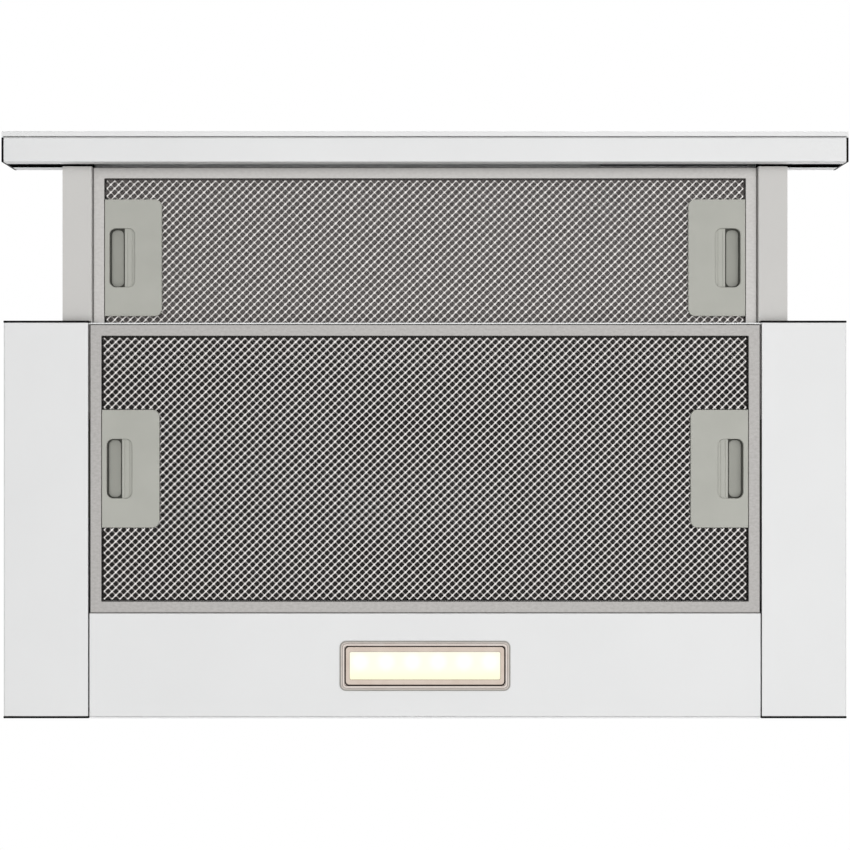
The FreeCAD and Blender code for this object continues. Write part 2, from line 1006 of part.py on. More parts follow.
# Front trim: a steel channel open at the back, with plastic end caps and a front plate
def trim_channel():
    end = half_width - trim_end_cap
    profile = [
        (trim_back, trim_bottom + trim_lower_lip),
        (trim_back, trim_bottom),
        (trim_front, trim_bottom),
        (trim_front, trim_top),
        (trim_back, trim_top),
        (trim_back, trim_top - trim_upper_lip),
        (trim_back - sheet, trim_top - trim_upper_lip),
        (trim_back - sheet, trim_top - sheet),
        (trim_front + sheet, trim_top - sheet),
        (trim_front + sheet, trim_bottom + sheet),
        (trim_back - sheet, trim_bottom + sheet),
        (trim_back - sheet, trim_bottom + trim_lower_lip),
    ]
    channel = profile_along_x(profile, -end, end)
    reach = (button_count - 1) * button_pitch / 2
    half_x = reach + button_width / 2 + button_flange + seam_clearance
    half_z = button_height / 2 + button_flange + seam_clearance
    window = block(
        button_group_x - half_x,
        button_group_x + half_x,
        trim_front - overrun,
        trim_front + sheet + overrun,
        button_z - half_z,
        button_z + half_z,
    )
    return cut(channel, window)


def trim_cap():
    return block(
        half_width - trim_end_cap, half_width, trim_front, trim_back, trim_bottom, trim_top
    )


def button_places():
    first = button_group_x - (button_count - 1) * button_pitch / 2
    return [first + n * button_pitch for n in range(button_count)]


def is_along_y(edge):
    run = edge.Vertexes[-1].Point - edge.Vertexes[0].Point
    return len(edge.Vertexes) == 2 and abs(run.x) + abs(run.z) < abs(run.y)


def button_prism(x, margin, y0, y1):
    shape = block(
        x - button_width / 2 - margin,
        x + button_width / 2 + margin,
        y0,
        y1,
        button_z - button_height / 2 - margin,
        button_z + button_height / 2 + margin,
    )
    return shape.makeFillet(button_radius, [e for e in shape.Edges if is_along_y(e)])


def fascia():
    plate = block(-half_width, half_width, fascia_front, trim_front, trim_bottom, trim_top)
    front_edges = [
        e for e in plate.Edges if max(v.Point.y for v in e.Vertexes) < trim_front - overrun
    ]
    plate = plate.makeFillet(fascia_edge_radius, front_edges)
    holes = [
        button_prism(x, running_clearance, fascia_front - overrun, trim_front + overrun)
        for x in button_places()
    ]
    return cut(plate, *holes)


def push_button(x):
    flange_front = trim_front + running_clearance
    cap = button_prism(x, 0, fascia_front - button_proud, flange_front)
    return join(cap, button_prism(x, button_flange, flange_front, button_back))


def control_box():
    half = (button_count - 1) * button_pitch / 2 + button_width / 2 + control_box_margin
    low = trim_bottom + sheet
    return block(
        button_group_x - half,
        button_group_x + half,
        control_front,
        trim_back - sheet - running_clearance,
        low,
        low + control_box_height,
    )


# Filter cassettes: a folded frame, a layered net and two sprung latches
def filter_frame(front, rear, bottom):
    top = bottom + filter_thickness
    outer = block(-filter_half, filter_half, front, rear, bottom, top)
    inside = filter_half - filter_sheet
    cavity = block(
        -inside,
        inside,
        front + filter_sheet,
        rear - filter_sheet,
        bottom + filter_sheet,
        top - filter_sheet,
    )
    edge = filter_half - filter_border
    opening = block(
        -edge, edge, front + filter_border, rear - filter_border, bottom - overrun, top + overrun
    )
    middle = (front + rear) / 2
    half = bolt_tongue_length / 2 + bolt_slot_clearance
    low = bottom + filter_sheet
    slot = block(
        inside - overrun,
        filter_half + overrun,
        middle - half,
        middle + half,
        low,
        low + bolt_thickness + 2 * running_clearance,
    )
    return cut(outer, cavity, opening, *both_sides(slot))


def latch_plate_outer():
    return filter_half - filter_border - latch_plate_gap


def latch_plate_inner():
    return latch_plate_outer() - latch_plate_width


def diamond(x, y, z):
    reach = net_pitch / 2 - net_strand / math.sqrt(2)
    corners = [
        Vector(x - reach, y, z),
        Vector(x, y - reach, z),
        Vector(x + reach, y, z),
        Vector(x, y + reach, z),
        Vector(x - reach, y, z),
    ]
    return Part.makePolygon(corners)


def net_gap_places(front, rear, notch_x, notch_y):
    reach = net_pitch / 2
    edge = filter_half - filter_border
    middle = (front + rear) / 2
    places = []
    columns = int(edge / reach)
    rows = int((rear - front) / net_pitch)
    for column in range(-columns, columns + 1):
        for row in range(-rows, rows + 1):
            if (column + row) % 2:
                continue
            x, y = column * reach, row * reach
            inside = abs(x) + reach <= edge and abs(y) + reach + filter_border <= rear - middle
            by_latch = abs(x) + reach > notch_x and abs(y) < notch_y + reach
            if inside and not by_latch:
                places.append((x, middle + y))
    return places


def filter_net(front, rear, bottom):
    low = bottom + filter_sheet
    x1 = filter_half - filter_sheet - running_clearance
    y0, y1 = front + filter_sheet + running_clearance, rear - filter_sheet - running_clearance
    middle = (front + rear) / 2
    x0 = latch_plate_inner() - running_clearance
    half = latch_plate_length / 2 + running_clearance
    corners = [
        (-x1, y0),
        (x1, y0),
        (x1, middle - half),
        (x0, middle - half),
        (x0, middle + half),
        (x1, middle + half),
        (x1, y1),
        (-x1, y1),
        (-x1, middle + half),
        (-x0, middle + half),
        (-x0, middle - half),
        (-x1, middle - half),
        (-x1, y0),
    ]
    outline = Part.makePolygon([Vector(x, y, low) for x, y in corners])
    gaps = [diamond(x, y, low) for x, y in net_gap_places(front, rear, x0, half)]
    return Part.Face([outline] + gaps).extrude(Vector(0, 0, net_thickness))


# Latch plate: the visible plate with its finger slot, walls round the bolt and a roof
def latch_plate(front, rear, bottom):
    middle = (front + rear) / 2
    outer, inner = latch_plate_outer(), latch_plate_inner()
    y0, y1 = middle - latch_plate_length / 2, middle + latch_plate_length / 2
    low = bottom - latch_plate_proud
    floor = low + latch_plate_thickness
    roof = bottom + filter_thickness - filter_sheet
    shell = block(inner, outer, y0, y1, low, roof)
    inner_corners = [e for e in shell.Edges if is_upright(e) and e.CenterOfMass.x < inner + overrun]
    shell = shell.makeFillet(latch_corner_radius, inner_corners)
    room = block(
        inner + latch_wall,
        outer + overrun,
        y0 + latch_wall,
        y1 - latch_wall,
        floor,
        roof - latch_wall,
    )
    roof_tail = block(
        outer,
        filter_half - filter_sheet - running_clearance,
        y0,
        y1,
        roof - latch_wall,
        roof,
    )
    slot = rounded_block(
        outer - finger_slot_edge - finger_slot_width,
        outer - finger_slot_edge,
        middle - finger_slot_length / 2,
        middle + finger_slot_length / 2,
        low - overrun,
        floor + running_clearance,
        finger_slot_radius,
    )
    return join(cut(shell, room, slot), roof_tail)


def bolt_inner():
    return latch_plate_outer() - finger_slot_edge - finger_slot_width + bolt_ledge_width


# Latch bolt: a sliding frame with a tongue at its outer end and a ledge for the finger
def latch_bolt(front, rear, bottom):
    middle = (front + rear) / 2
    low = bottom + bolt_level
    top = low + bolt_thickness
    ledge = bolt_inner()
    shoulder = filter_half - filter_sheet - bolt_shoulder
    half = bolt_length / 2
    frame = block(ledge - bolt_bar_width, shoulder, middle - half, middle + half, low, top)
    window = block(
        ledge,
        shoulder - bolt_nose_width,
        middle - finger_slot_length / 2 - bolt_window_margin,
        middle + finger_slot_length / 2 + bolt_window_margin,
        low - overrun,
        top + overrun,
    )
    tongue_half = bolt_tongue_length / 2
    tongue = block(
        shoulder, filter_half + bolt_reach, middle - tongue_half, middle + tongue_half, low, top
    )
    rib_half = finger_slot_length / 2
    rib = block(
        ledge - bolt_rib_width,
        ledge,
        middle - rib_half,
        middle + rib_half,
        top,
        top + bolt_rib_height,
    )
    return join(cut(frame, window), tongue, rib)


# Latch spring: a folded strip of steel between the plate's inner wall and the bolt
def latch_spring(front, rear, bottom):
    middle = (front + rear) / 2
    low = bottom + bolt_level
    start = latch_plate_inner() + latch_wall + spring_end_gap
    end = bolt_inner() - bolt_bar_width - spring_end_gap
    shift = spring_strip * math.hypot(end - start, spring_pitch) / spring_pitch
    path = []
    for n in range(spring_folds + 1):
        x = end - shift if n % 2 else start
        path.append((x, middle - spring_spread / 2 + n * spring_pitch))
    outline = path + [(x + shift, y) for x, y in reversed(path)]
    corners = [Vector(x, y, low) for x, y in outline]
    face = Part.Face(Part.makePolygon(corners + corners[:1]))
    return face.extrude(Vector(0, 0, spring_height))


def save_filter(name, front, rear, bottom):
    save(name + "_filter_frame", filter_frame(front, rear, bottom))
    save(name + "_filter_net", filter_net(front, rear, bottom))
    plate, bolt = latch_plate(front, rear, bottom), latch_bolt(front, rear, bottom)
    save(name + "_latch_plate_right", plate)
    save(name + "_latch_plate_left", mirrored(plate))
    save(name + "_latch_bolt_right", bolt)
    save(name + "_latch_bolt_left", mirrored(bolt))
    save(name + "_latch_springs", *both_sides(latch_spring(front, rear, bottom)))


def save_pair(name, shape):
    save(name + "_right", shape)
    save(name + "_left", mirrored(shape))


os.makedirs("parts", exist_ok=True)

save_pair("wing_cover", wing_cover())
save("wing_end_caps", *wing_end_caps())
save("lamp_panel", lamp_panel())
save("front_sill", front_sill())
save("lamp_bezel", lamp_bezel())
save("lamp_lens", lamp_lens())
save("led_board", led_board())

save("housing_front_panel", housing_front_panel())
save("housing_rear_panel", housing_rear_panel())
save_pair("housing_side", housing_side())
save("housing_lid", housing_lid())
save("housing_screws", *housing_screws())
save("duct_spigot", duct_spigot())
save("backdraft_flap_front", backdraft_flap(-1))
save("backdraft_flap_rear", backdraft_flap(1))

save("blower_scroll", blower_scroll())
save_pair("blower_side", blower_side())
save("impeller", *impeller())
save("motor_shaft", motor_shaft())
save("motor", motor())
save("motor_bracket", motor_bracket())
save("capacitor", capacitor())
save("terminal_box", terminal_box())
save("cable_gland", cable_gland())
save("drawer_switch", drawer_switch())

save_pair("runner", runner())
save("rail_glides", *rail_glides())
save_pair("drawer_rail", drawer_rail())
save("drawer_glides", *drawer_glides())
save("drawer_top_panel", drawer_top_panel())
save("drawer_crossbar", drawer_crossbar())
save("trim_channel", trim_channel())
save_pair("trim_cap", trim_cap())
save("fascia", fascia())
save("control_box", control_box())
for name, x in zip(("light", "off", "low", "medium", "high"), button_places()):
    save("button_" + name, push_button(x))

save_filter("main", main_front, main_rear, main_bottom)
save_filter("drawer", drawer_front, drawer_rear, drawer_bottom)
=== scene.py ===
import math

import bpy
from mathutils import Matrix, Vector


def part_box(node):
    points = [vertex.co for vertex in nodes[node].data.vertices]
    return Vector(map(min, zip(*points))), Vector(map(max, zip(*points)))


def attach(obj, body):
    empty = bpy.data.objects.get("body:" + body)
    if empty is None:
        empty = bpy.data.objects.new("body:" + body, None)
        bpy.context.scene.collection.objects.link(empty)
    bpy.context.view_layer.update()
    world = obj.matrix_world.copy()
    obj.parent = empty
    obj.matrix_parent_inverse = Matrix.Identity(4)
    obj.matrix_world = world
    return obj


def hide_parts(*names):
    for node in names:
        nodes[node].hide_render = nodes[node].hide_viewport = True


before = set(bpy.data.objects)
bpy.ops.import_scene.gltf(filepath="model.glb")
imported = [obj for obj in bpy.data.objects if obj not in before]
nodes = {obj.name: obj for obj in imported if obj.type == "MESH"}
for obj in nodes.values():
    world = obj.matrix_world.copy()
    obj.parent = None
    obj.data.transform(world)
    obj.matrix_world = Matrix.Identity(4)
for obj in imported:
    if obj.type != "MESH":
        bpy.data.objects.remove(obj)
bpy.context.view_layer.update()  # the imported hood, one object for each part, in metres
bpy.ops.object.select_all(action="DESELECT")

mm = 0.001
tiny = 0.01 * mm  # places nearer than this are one
past = 3 * mm  # how far a cutting tool reaches beyond what it cuts
mostly = 0.9  # the share of a direction that counts as along an axis


def linear(hexColour):  # an sRGB hex colour as the linear one that shaders take
    channels = [int(hexColour[n:n + 2], 16) / 255 for n in (1, 3, 5)]
    return [c / 12.92 if c <= 0.04045 else ((c + 0.055) / 1.055) ** 2.4 for c in channels] + [1]


def addNode(tree, kind, inputs=None, **settings):
    node = tree.nodes.new("ShaderNode" + kind)
    for name, value in settings.items():
        setattr(node, name, value)
    for name, value in (inputs or {}).items():
        if isinstance(value, bpy.types.NodeSocket):
            tree.links.new(value, node.inputs[name])
        else:
            node.inputs[name].default_value = value
    return node


def newMaterial(name, **values):
    material = bpy.data.materials.new(name)
    material.use_nodes = True
    tree = material.node_tree
    shader = tree.nodes["Principled BSDF"]
    for socket, value in values.items():
        shader.inputs[socket.replace("_", " ")].default_value = value
    place = tree.nodes.new("ShaderNodeTexCoord").outputs["Object"]
    return material, tree, shader, place


def stretched(tree, place, sizes):  # coordinates that count in grains of the given sizes
    return addNode(
        tree, "Mapping", {"Vector": place, "Scale": [1 / size for size in sizes]}
    ).outputs["Vector"]


def noise(tree, place, sizes, detail=2.0, roughness=0.5):
    vector = stretched(tree, place, sizes)
    inputs = {"Vector": vector, "Scale": 1.0, "Detail": detail, "Roughness": roughness}
    return addNode(tree, "TexNoise", inputs).outputs["Fac"]


def blendColours(tree, amount, first, second, low=0.3, high=0.7):
    ramp = addNode(tree, "ValToRGB", {"Fac": amount})
    ramp.color_ramp.elements[0].position = low
    ramp.color_ramp.elements[1].position = high
    ramp.color_ramp.elements[0].color = linear(first)
    ramp.color_ramp.elements[1].color = linear(second)
    return ramp.outputs["Color"]


def spread(tree, amount, low, high):
    inputs = {"Value": amount, "To Min": low, "To Max": high}
    return addNode(tree, "MapRange", inputs).outputs["Result"]


def eased(tree, value, start, end, low=0.0, high=1.0):  # goes smoothly from low to high
    inputs = {"Value": value, "From Min": start, "From Max": end, "To Min": low, "To Max": high}
    return addNode(tree, "MapRange", inputs, interpolation_type="SMOOTHSTEP").outputs["Result"]


def reckon(tree, operation, first, second=0.0):
    return addNode(tree, "Math", {0: first, 1: second}, operation=operation).outputs["Value"]


def addBump(tree, shader, height, distance, strength=1.0):
    inputs = {"Height": height, "Distance": distance, "Strength": strength}
    bump = addNode(tree, "Bump", inputs)
    tree.links.new(bump.outputs["Normal"], shader.inputs["Normal"])


# Polyester powder coat baked on steel: satin, even, with a faint orange peel
coat = {"cloud": 90 * mm, "peel": 2.2 * mm, "peelDepth": 0.02 * mm, "peelStrength": 0.5}


def powderCoat(name, light, dark, roughness=0.42):
    material, tree, shader, place = newMaterial(name, Roughness=roughness)
    cloud = noise(tree, place, [coat["cloud"]] * 3)
    tree.links.new(blendColours(tree, cloud, dark, light), shader.inputs["Base Color"])
    peel = noise(tree, place, [coat["peel"]] * 3, detail=1.0)
    addBump(tree, shader, peel, coat["peelDepth"], coat["peelStrength"])
    return material


# Moulded thermoplastic: even colour, a fine spark-eroded grain, satin
moulding = {
    "cloud": 25 * mm, "sheen": 6 * mm, "glossier": 0.05, "duller": 0.07, "grainStrength": 0.6,
}


def mouldedPlastic(name, light, dark, roughness, grain=0.9 * mm, depth=0.03 * mm, shine=0.5):
    material, tree, shader, place = newMaterial(name, Roughness=roughness, Specular_IOR_Level=shine)
    cloud = noise(tree, place, [moulding["cloud"]] * 3)
    tree.links.new(blendColours(tree, cloud, dark, light), shader.inputs["Base Color"])
    sheen = noise(tree, place, [moulding["sheen"]] * 3)
    smooth, rough = roughness - moulding["glossier"], roughness + moulding["duller"]
    tree.links.new(spread(tree, sheen, smooth, rough), shader.inputs["Roughness"])
    grains = noise(tree, place, [grain] * 3, detail=3.0)
    addBump(tree, shader, grains, depth, moulding["grainStrength"])
    return material


# Rolled sheet metal: metallic, with faint marks of the sizes that its rolling left
rolling = {"glossier": 0.06, "duller": 0.08, "depth": 0.01 * mm, "strength": 0.5}


def rolledMetal(name, light, dark, roughness, grain):
    material, tree, shader, place = newMaterial(name, Metallic=1.0, Roughness=roughness)
    marks = noise(tree, place, grain, detail=3.0)
    tree.links.new(blendColours(tree, marks, dark, light), shader.inputs["Base Color"])
    smooth, rough = roughness - rolling["glossier"], roughness + rolling["duller"]
    tree.links.new(spread(tree, marks, smooth, rough), shader.inputs["Roughness"])
    addBump(tree, shader, marks, rolling["depth"], rolling["strength"])
    return material


# Slit and stretched aluminium: a painted highlight on its flat nodes, painted shade on its turned
# strands, and patches of painted glint
stretching = {"roughness": 0.36, "sparkle": 5 * mm, "unevenness": 0.35, "from": 0.05, "to": 0.95}


def stretchedMetal(name, corner, cell, node, strand):
    material, tree, shader, place = newMaterial(
        name, Metallic=1.0, Roughness=stretching["roughness"]
    )
    scale = [2 * math.pi / size for size in cell] + [1]
    waves = addNode(tree, "SeparateXYZ", {"Vector": addNode(
        tree, "Mapping", {
            "Vector": place, "Scale": scale,
            "Location": [-corner[0] * scale[0], -corner[1] * scale[1], 0],
        },
    ).outputs["Vector"]}).outputs
    across, along = (reckon(tree, "COSINE", waves[axis]) for axis in ("X", "Y"))
    # cosine of both axes: 1 at each node, a painted highlight, and lower along the strands, painted
    # shade
    flat = reckon(tree, "MULTIPLY", across, along)
    patches = noise(tree, place, [stretching["sparkle"]] * 3, detail=1.0)
    sparkle = spread(tree, patches, -stretching["unevenness"], stretching["unevenness"])
    amount = reckon(tree, "ADD", flat, sparkle)
    colour = blendColours(tree, amount, strand, node, stretching["from"], stretching["to"])
    tree.links.new(colour, shader.inputs["Base Color"])
    return material


# Hot-dip galvanised sheet: zinc crystals of a few millimetres, each with its own sheen
zinc = {
    "crystal": 7 * mm, "warpSize": 8 * mm, "warp": 2 * mm, "colours": ("#9EA1A3", "#ABAEB0"),
    "metallic": 0.9, "roughness": (0.44, 0.52), "depth": 0.01 * mm, "strength": 0.3,
}


def galvanisedSheet(name):
    material, tree, shader, place = newMaterial(name, Metallic=zinc["metallic"])
    warp = noise(tree, place, [zinc["warpSize"]] * 3)
    shifts = {axis: spread(tree, warp, -zinc["warp"], zinc["warp"]) for axis in ("X", "Y", "Z")}
    shift = addNode(tree, "CombineXYZ", shifts).outputs["Vector"]
    warped = addNode(tree, "VectorMath", {0: place, 1: shift}).outputs["Vector"]
    crystals = addNode(tree, "TexVoronoi", {"Vector": warped, "Scale": 1 / zinc["crystal"]})
    tone = addNode(tree, "SeparateColor", {"Color": crystals.outputs["Color"]}).outputs["Red"]
    colour = blendColours(tree, tone, *zinc["colours"], low=0.0, high=1.0)
    tree.links.new(colour, shader.inputs["Base Color"])
    tree.links.new(spread(tree, tone, *zinc["roughness"]), shader.inputs["Roughness"])
    addBump(tree, shader, tone, zinc["depth"], zinc["strength"])
    return material


# Frosted polycarbonate over six LEDs: a soft white spot over each, yellower towards the rear edge
lampGlow = {
    "pitch": 18.5 * mm, "lastSpot": 46.3 * mm, "forward": 3 * mm, "core": 2 * mm, "spot": 8.6 * mm,
    "rear": (1 * mm, 10 * mm), "strength": 0.74, "plastic": "#8C8A82",
    "glow": ("#FFFFFF", "#FDFCE6", "#FBF7D0"),  # over an LED, between them, and at the rear edge
}


def frostedLens(name, middleY):
    material, tree, shader, place = newMaterial(name, Roughness=0.35)
    shader.inputs["Base Color"].default_value = linear(lampGlow["plastic"])
    last, pitch, forward = lampGlow["lastSpot"], lampGlow["pitch"], middleY - lampGlow["forward"]
    axes = addNode(tree, "SeparateXYZ", {"Vector": place}).outputs
    kept = addNode(tree, "Clamp", {"Value": axes["X"], "Min": -last, "Max": last}).outputs["Result"]
    beyond = reckon(tree, "SUBTRACT", axes["X"], kept)
    cell = reckon(tree, "PINGPONG", kept, pitch)
    along = reckon(tree, "ADD", reckon(tree, "SUBTRACT", cell, pitch / 2), beyond)
    across = reckon(tree, "SUBTRACT", axes["Y"], forward)
    offset = addNode(tree, "CombineXYZ", {"X": along, "Y": across}).outputs["Vector"]
    distance = addNode(tree, "VectorMath", {0: offset}, operation="LENGTH").outputs["Value"]
    spot = eased(tree, distance, lampGlow["core"], lampGlow["spot"], low=1.0, high=0.0)
    rear = eased(tree, axes["Y"], *(middleY + step for step in lampGlow["rear"]))
    white, between, yellow = lampGlow["glow"]
    rest = blendColours(tree, rear, between, yellow, low=0.0, high=1.0)
    glow = addNode(tree, "MixRGB", {"Fac": spot, "Color1": rest, "Color2": linear(white)})
    tree.links.new(glow.outputs["Color"], shader.inputs["Emission Color"])
    shader.inputs["Emission Strength"].default_value = lampGlow["strength"]
    return material


whiteCoat = powderCoat("white satin powder coat", "#E6E6E6", "#E3E3E3")
fasciaCoat = powderCoat("fascia white gloss coat", "#E7E7E7", "#E4E4E4", roughness=0.3)
railPaint = powderCoat("pale grey rail paint", "#C9C7C4", "#C4C2BF", roughness=0.35)
blackPlastic = mouldedPlastic("black moulded nylon", "#0E0E0F", "#0A0A0B", 0.5, shine=0.06)
shadeFoam = mouldedPlastic(
    "matt black stand-in for painted shade", "#0C0C0C", "#080808", 0.9, grain=0.6 * mm, depth=0.08 * mm, shine=0.0
)
sealRubber = mouldedPlastic("dark brown rubber seal", "#2B211D", "#211916", 0.6, shine=0.15)
latchPlastic = mouldedPlastic("stone grey moulded ABS", "#ADADA5", "#A8A8A0", 0.45)
wellShadePlastic = mouldedPlastic("grey ABS darkened as painted shade", "#9B9B93", "#95958D", 0.5)
shadowPlastic = mouldedPlastic("dark grey moulded ABS", "#6A6A64", "#64645E", 0.6, shine=0.1)
gasketShadeRubber = mouldedPlastic("grey gasket painting the bezel's shaded wall", "#A19E99", "#9A9792", 0.7, shine=0.2)
tongueShadePlastic = mouldedPlastic("nylon darkened as painted shade", "#2F2E2B", "#282724", 0.6, shine=0.1)
buttonPlastic = mouldedPlastic(
    "polished white ABS", "#D9DADA", "#D5D6D6", 0.25, grain=0.6 * mm, depth=0.01 * mm
)
greyPlastic = mouldedPlastic("grey moulded polypropylene", "#76797B", "#6C6F71", 0.5)
impellerPlastic = mouldedPlastic("dark grey glass-filled plastic", "#303134", "#26272A", 0.5)
naturalNylon = mouldedPlastic("natural nylon", "#E4E3D8", "#DAD9CD", 0.4)
whiteCan = mouldedPlastic("white capacitor can", "#DDDEDC", "#D2D3D1", 0.35)
boardMask = mouldedPlastic("white solder mask", "#DCDFD6", "#CFD2C9", 0.4)
frameAluminium = rolledMetal(
    "satin rolled aluminium", "#8F8D8B", "#817F7D", 0.38, [2.6 * mm, 1.6 * mm, 1.6 * mm]
)
# The drawer frame: the frames' aluminium made lighter, painted light against the shade beside its
# rails
litDrawerAluminium = rolledMetal(
    "rolled aluminium lightened as painted light", "#9C9A98", "#918F8D", 0.38, [2.6 * mm, 1.6 * mm, 1.6 * mm]
)
# The nets' inner layers: aluminium darkened as painted shade, for the hollow behind the mesh
shadedInnerAluminium = rolledMetal(
    "inner aluminium layer in painted shade", "#272524", "#1C1B1A", 0.5, [4 * mm] * 3
)
palerShadedAluminium = rolledMetal("inner aluminium layer", "#534F4E", "#3E3B3A", 0.5, [4 * mm] * 3)
bezelMetal = rolledMetal("champagne satin aluminium", "#A8A19C", "#9F9690", 0.36, [9 * mm] * 3)
ringMetal = rolledMetal("beige satin aluminium", "#A3988F", "#998D84", 0.38, [9 * mm] * 3)
zincPlate = rolledMetal("bright zinc plate", "#B2B4B6", "#9C9EA0", 0.34, [3 * mm] * 3)
motorPaint = mouldedPlastic("grey baked enamel", "#4A4D50", "#404346", 0.4, grain=1.5 * mm)
galvanised = galvanisedSheet("galvanised sheet")
print("materials ready")


# Shared ways of working on a piece
def activate(piece):
    bpy.ops.object.select_all(action="DESELECT")
    piece.select_set(True)
    bpy.context.view_layer.objects.active = piece


def pick(piece, kind, test):  # selects what passes the test and stays in edit mode
    activate(piece)
    bpy.ops.object.mode_set(mode="EDIT")
    bpy.ops.mesh.select_mode(type=kind)
    bpy.ops.mesh.select_all(action="DESELECT")
    bpy.ops.object.mode_set(mode="OBJECT")
    mesh = piece.data
    if kind == "FACE":
        for face in mesh.polygons:
            face.select = test(face.center, face.normal)
    elif kind == "EDGE":
        for edge in mesh.edges:
            first, last = (mesh.vertices[n].co for n in edge.vertices)
            edge.select = test((first + last) / 2, (last - first).normalized())
    else:
        for vertex in mesh.vertices:
            vertex.select = test(vertex.co, vertex.normal)
    bpy.ops.object.mode_set(mode="EDIT")


def leaveEdit():
    bpy.ops.object.mode_set(mode="OBJECT")


def modify(piece, kind, **settings):
    modifier = piece.modifiers.new(kind.lower(), kind)
    for name, value in settings.items():
        setattr(modifier, name, value)
    activate(piece)
    bpy.ops.object.modifier_apply(modifier=modifier.name)


def softenEdges(piece, width, segments=2, angle=40):
    modify(
        piece, "BEVEL", width=width, segments=segments, limit_method="ANGLE",
        angle_limit=math.radians(angle), use_clamp_overlap=True,
    )


def named(name):  # the new piece gets its name, and its place goes into its mesh
    piece = bpy.context.object
    piece.name = piece.data.name = name
    bpy.ops.object.transform_apply(location=True, rotation=True, scale=True)
    return piece


def slab(name, low, high):  # a cube stretched between two corners
    centre = [(a + b) / 2 for a, b in zip(low, high)]
    size = [b - a for a, b in zip(low, high)]
    bpy.ops.mesh.primitive_cube_add(size=1, location=centre, scale=size)
    return named(name)


def bevelWhere(piece, kind, test, width, segments):
    pick(piece, kind, test)
    bpy.ops.mesh.bevel(offset=width, segments=segments, affect="EDGES")
    leaveEdit()


def roundedSlab(name, low, high, radius, axis=2, segments=6):  # with round corners seen along axis
    piece = slab(name, low, high)
    bevelWhere(piece, "EDGE", lambda centre, run: abs(run[axis]) > mostly, radius, segments)
    return piece


def rod(name, radius, start, end, vertices=32):
    start, end = Vector(start), Vector(end)
    run = end - start
    turn = run.to_track_quat("Z", "Y").to_euler()
    bpy.ops.mesh.primitive_cylinder_add(
        vertices=vertices, radius=radius, depth=run.length,
        location=(start + end) / 2, rotation=turn,
    )
    return named(name)


def combine(piece, operation, tools):
    for tool in tools:
        modify(piece, "BOOLEAN", object=tool, operation=operation, solver="EXACT")
        bpy.data.objects.remove(tool)


def cutAway(piece, *tools):
    combine(piece, "DIFFERENCE", tools)


def weldOn(piece, *tools):
    combine(piece, "UNION", tools)


def joinAll(piece, *others):
    activate(piece)
    for other in others:
        other.select_set(True)
    bpy.ops.object.join()
    return piece


def turned(name, centre, profile, vertices):  # a ring extruded and scaled along (radius, height)
    x, y = centre
    radius, height = profile[0]
    bpy.ops.mesh.primitive_circle_add(vertices=vertices, radius=radius, location=(x, y, height))
    piece = named(name)
    pick(piece, "EDGE", lambda middle, run: True)
    for nextRadius, nextHeight in profile[1:]:
        bpy.ops.mesh.extrude_region_move(
            TRANSFORM_OT_translate={"value": (0, 0, nextHeight - height)}
        )
        factor = nextRadius / radius
        bpy.ops.transform.resize(value=(factor, factor, 1), center_override=(x, y, nextHeight))
        radius, height = nextRadius, nextHeight
    bpy.ops.mesh.select_all(action="SELECT")
    bpy.ops.mesh.remove_doubles(threshold=tiny / 10)
    bpy.ops.mesh.normals_make_consistent(inside=False)
    leaveEdit()
    return piece


# A sheet laid flat and folded up at its sides. Growth 1 thickens it upwards, -1 downwards.
# A fold is a side, its moves and, where it gets narrower upwards, its share of the width.
def foldedSheet(name, corners, z, folds, sheet, radius, growth=1, rim=0.25 * mm):
    x0, x1, y0, y1 = corners
    bpy.ops.mesh.primitive_plane_add(size=1, location=((x0 + x1) / 2, (y0 + y1) / 2, z))
    piece = bpy.context.object
    piece.scale = (x1 - x0, y1 - y0, 1)
    piece = named(name)
    sides = {"+x": (0, x1), "-x": (0, x0), "+y": (1, y1), "-y": (1, y0)}
    for side, moves, *share in folds:
        axis, place = sides[side]
        pick(piece, "EDGE", lambda centre, run: (
            abs(centre[axis] - place) < tiny and abs(centre.z - z) < tiny
            and abs(run[1 - axis]) > mostly
        ))
        for n, move in enumerate(moves):
            bpy.ops.mesh.extrude_region_move(TRANSFORM_OT_translate={"value": move})
            if share and n == 0:
                bpy.ops.transform.resize(
                    value=(share[0], 1, 1), center_override=((x0 + x1) / 2, place, z)
                )
        leaveEdit()
    softenEdges(piece, radius, segments=4, angle=30)
    modify(piece, "SOLIDIFY", thickness=sheet, offset=growth, use_even_offset=True)
    softenEdges(piece, rim, angle=50)
    return piece


finish = {"weld": 0.002 * mm, "flatBelow": 1, "roundAbove": 45, "smoothBelow": 32}  # mm and degrees


def settle(piece, body, slotName, material, *replaced):  # finish and what it rides on; slotName is not used
    if material:
        piece.data.materials.clear()
        piece.data.materials.append(material)
    activate(piece)
    bpy.ops.object.shade_smooth_by_angle(angle=math.radians(finish["smoothBelow"]))
    modify(piece, "WEIGHTED_NORMAL", keep_sharp=True)
    if replaced:
        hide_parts(*replaced)
    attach(piece, body)


def dress(material, edge, *names):  # a part kept in its own shape: rounded edges and a finish
    for name in names:
        part = nodes[name]
        part.data.materials.clear()
        part.data.materials.append(material)
        part.modifiers.new("weld", "WELD").merge_threshold = finish["weld"]
        if edge:
            flatten = part.modifiers.new("flatten", "DECIMATE")
            flatten.decimate_type = "DISSOLVE"
            flatten.angle_limit = math.radians(finish["flatBelow"])
            bevel = part.modifiers.new("edges", "BEVEL")
            bevel.width = edge
            bevel.segments = 2
            bevel.limit_method = "ANGLE"
            bevel.angle_limit = math.radians(finish["roundAbove"])


# Side wings and their black end caps
wing = {
    "sheet": 1.2 * mm, "fold": 1.4 * mm, "topInner": 246 * mm, "screwX": 271 * mm,
    "screwY": 90 * mm, "screwHole": 2.3 * mm,
}


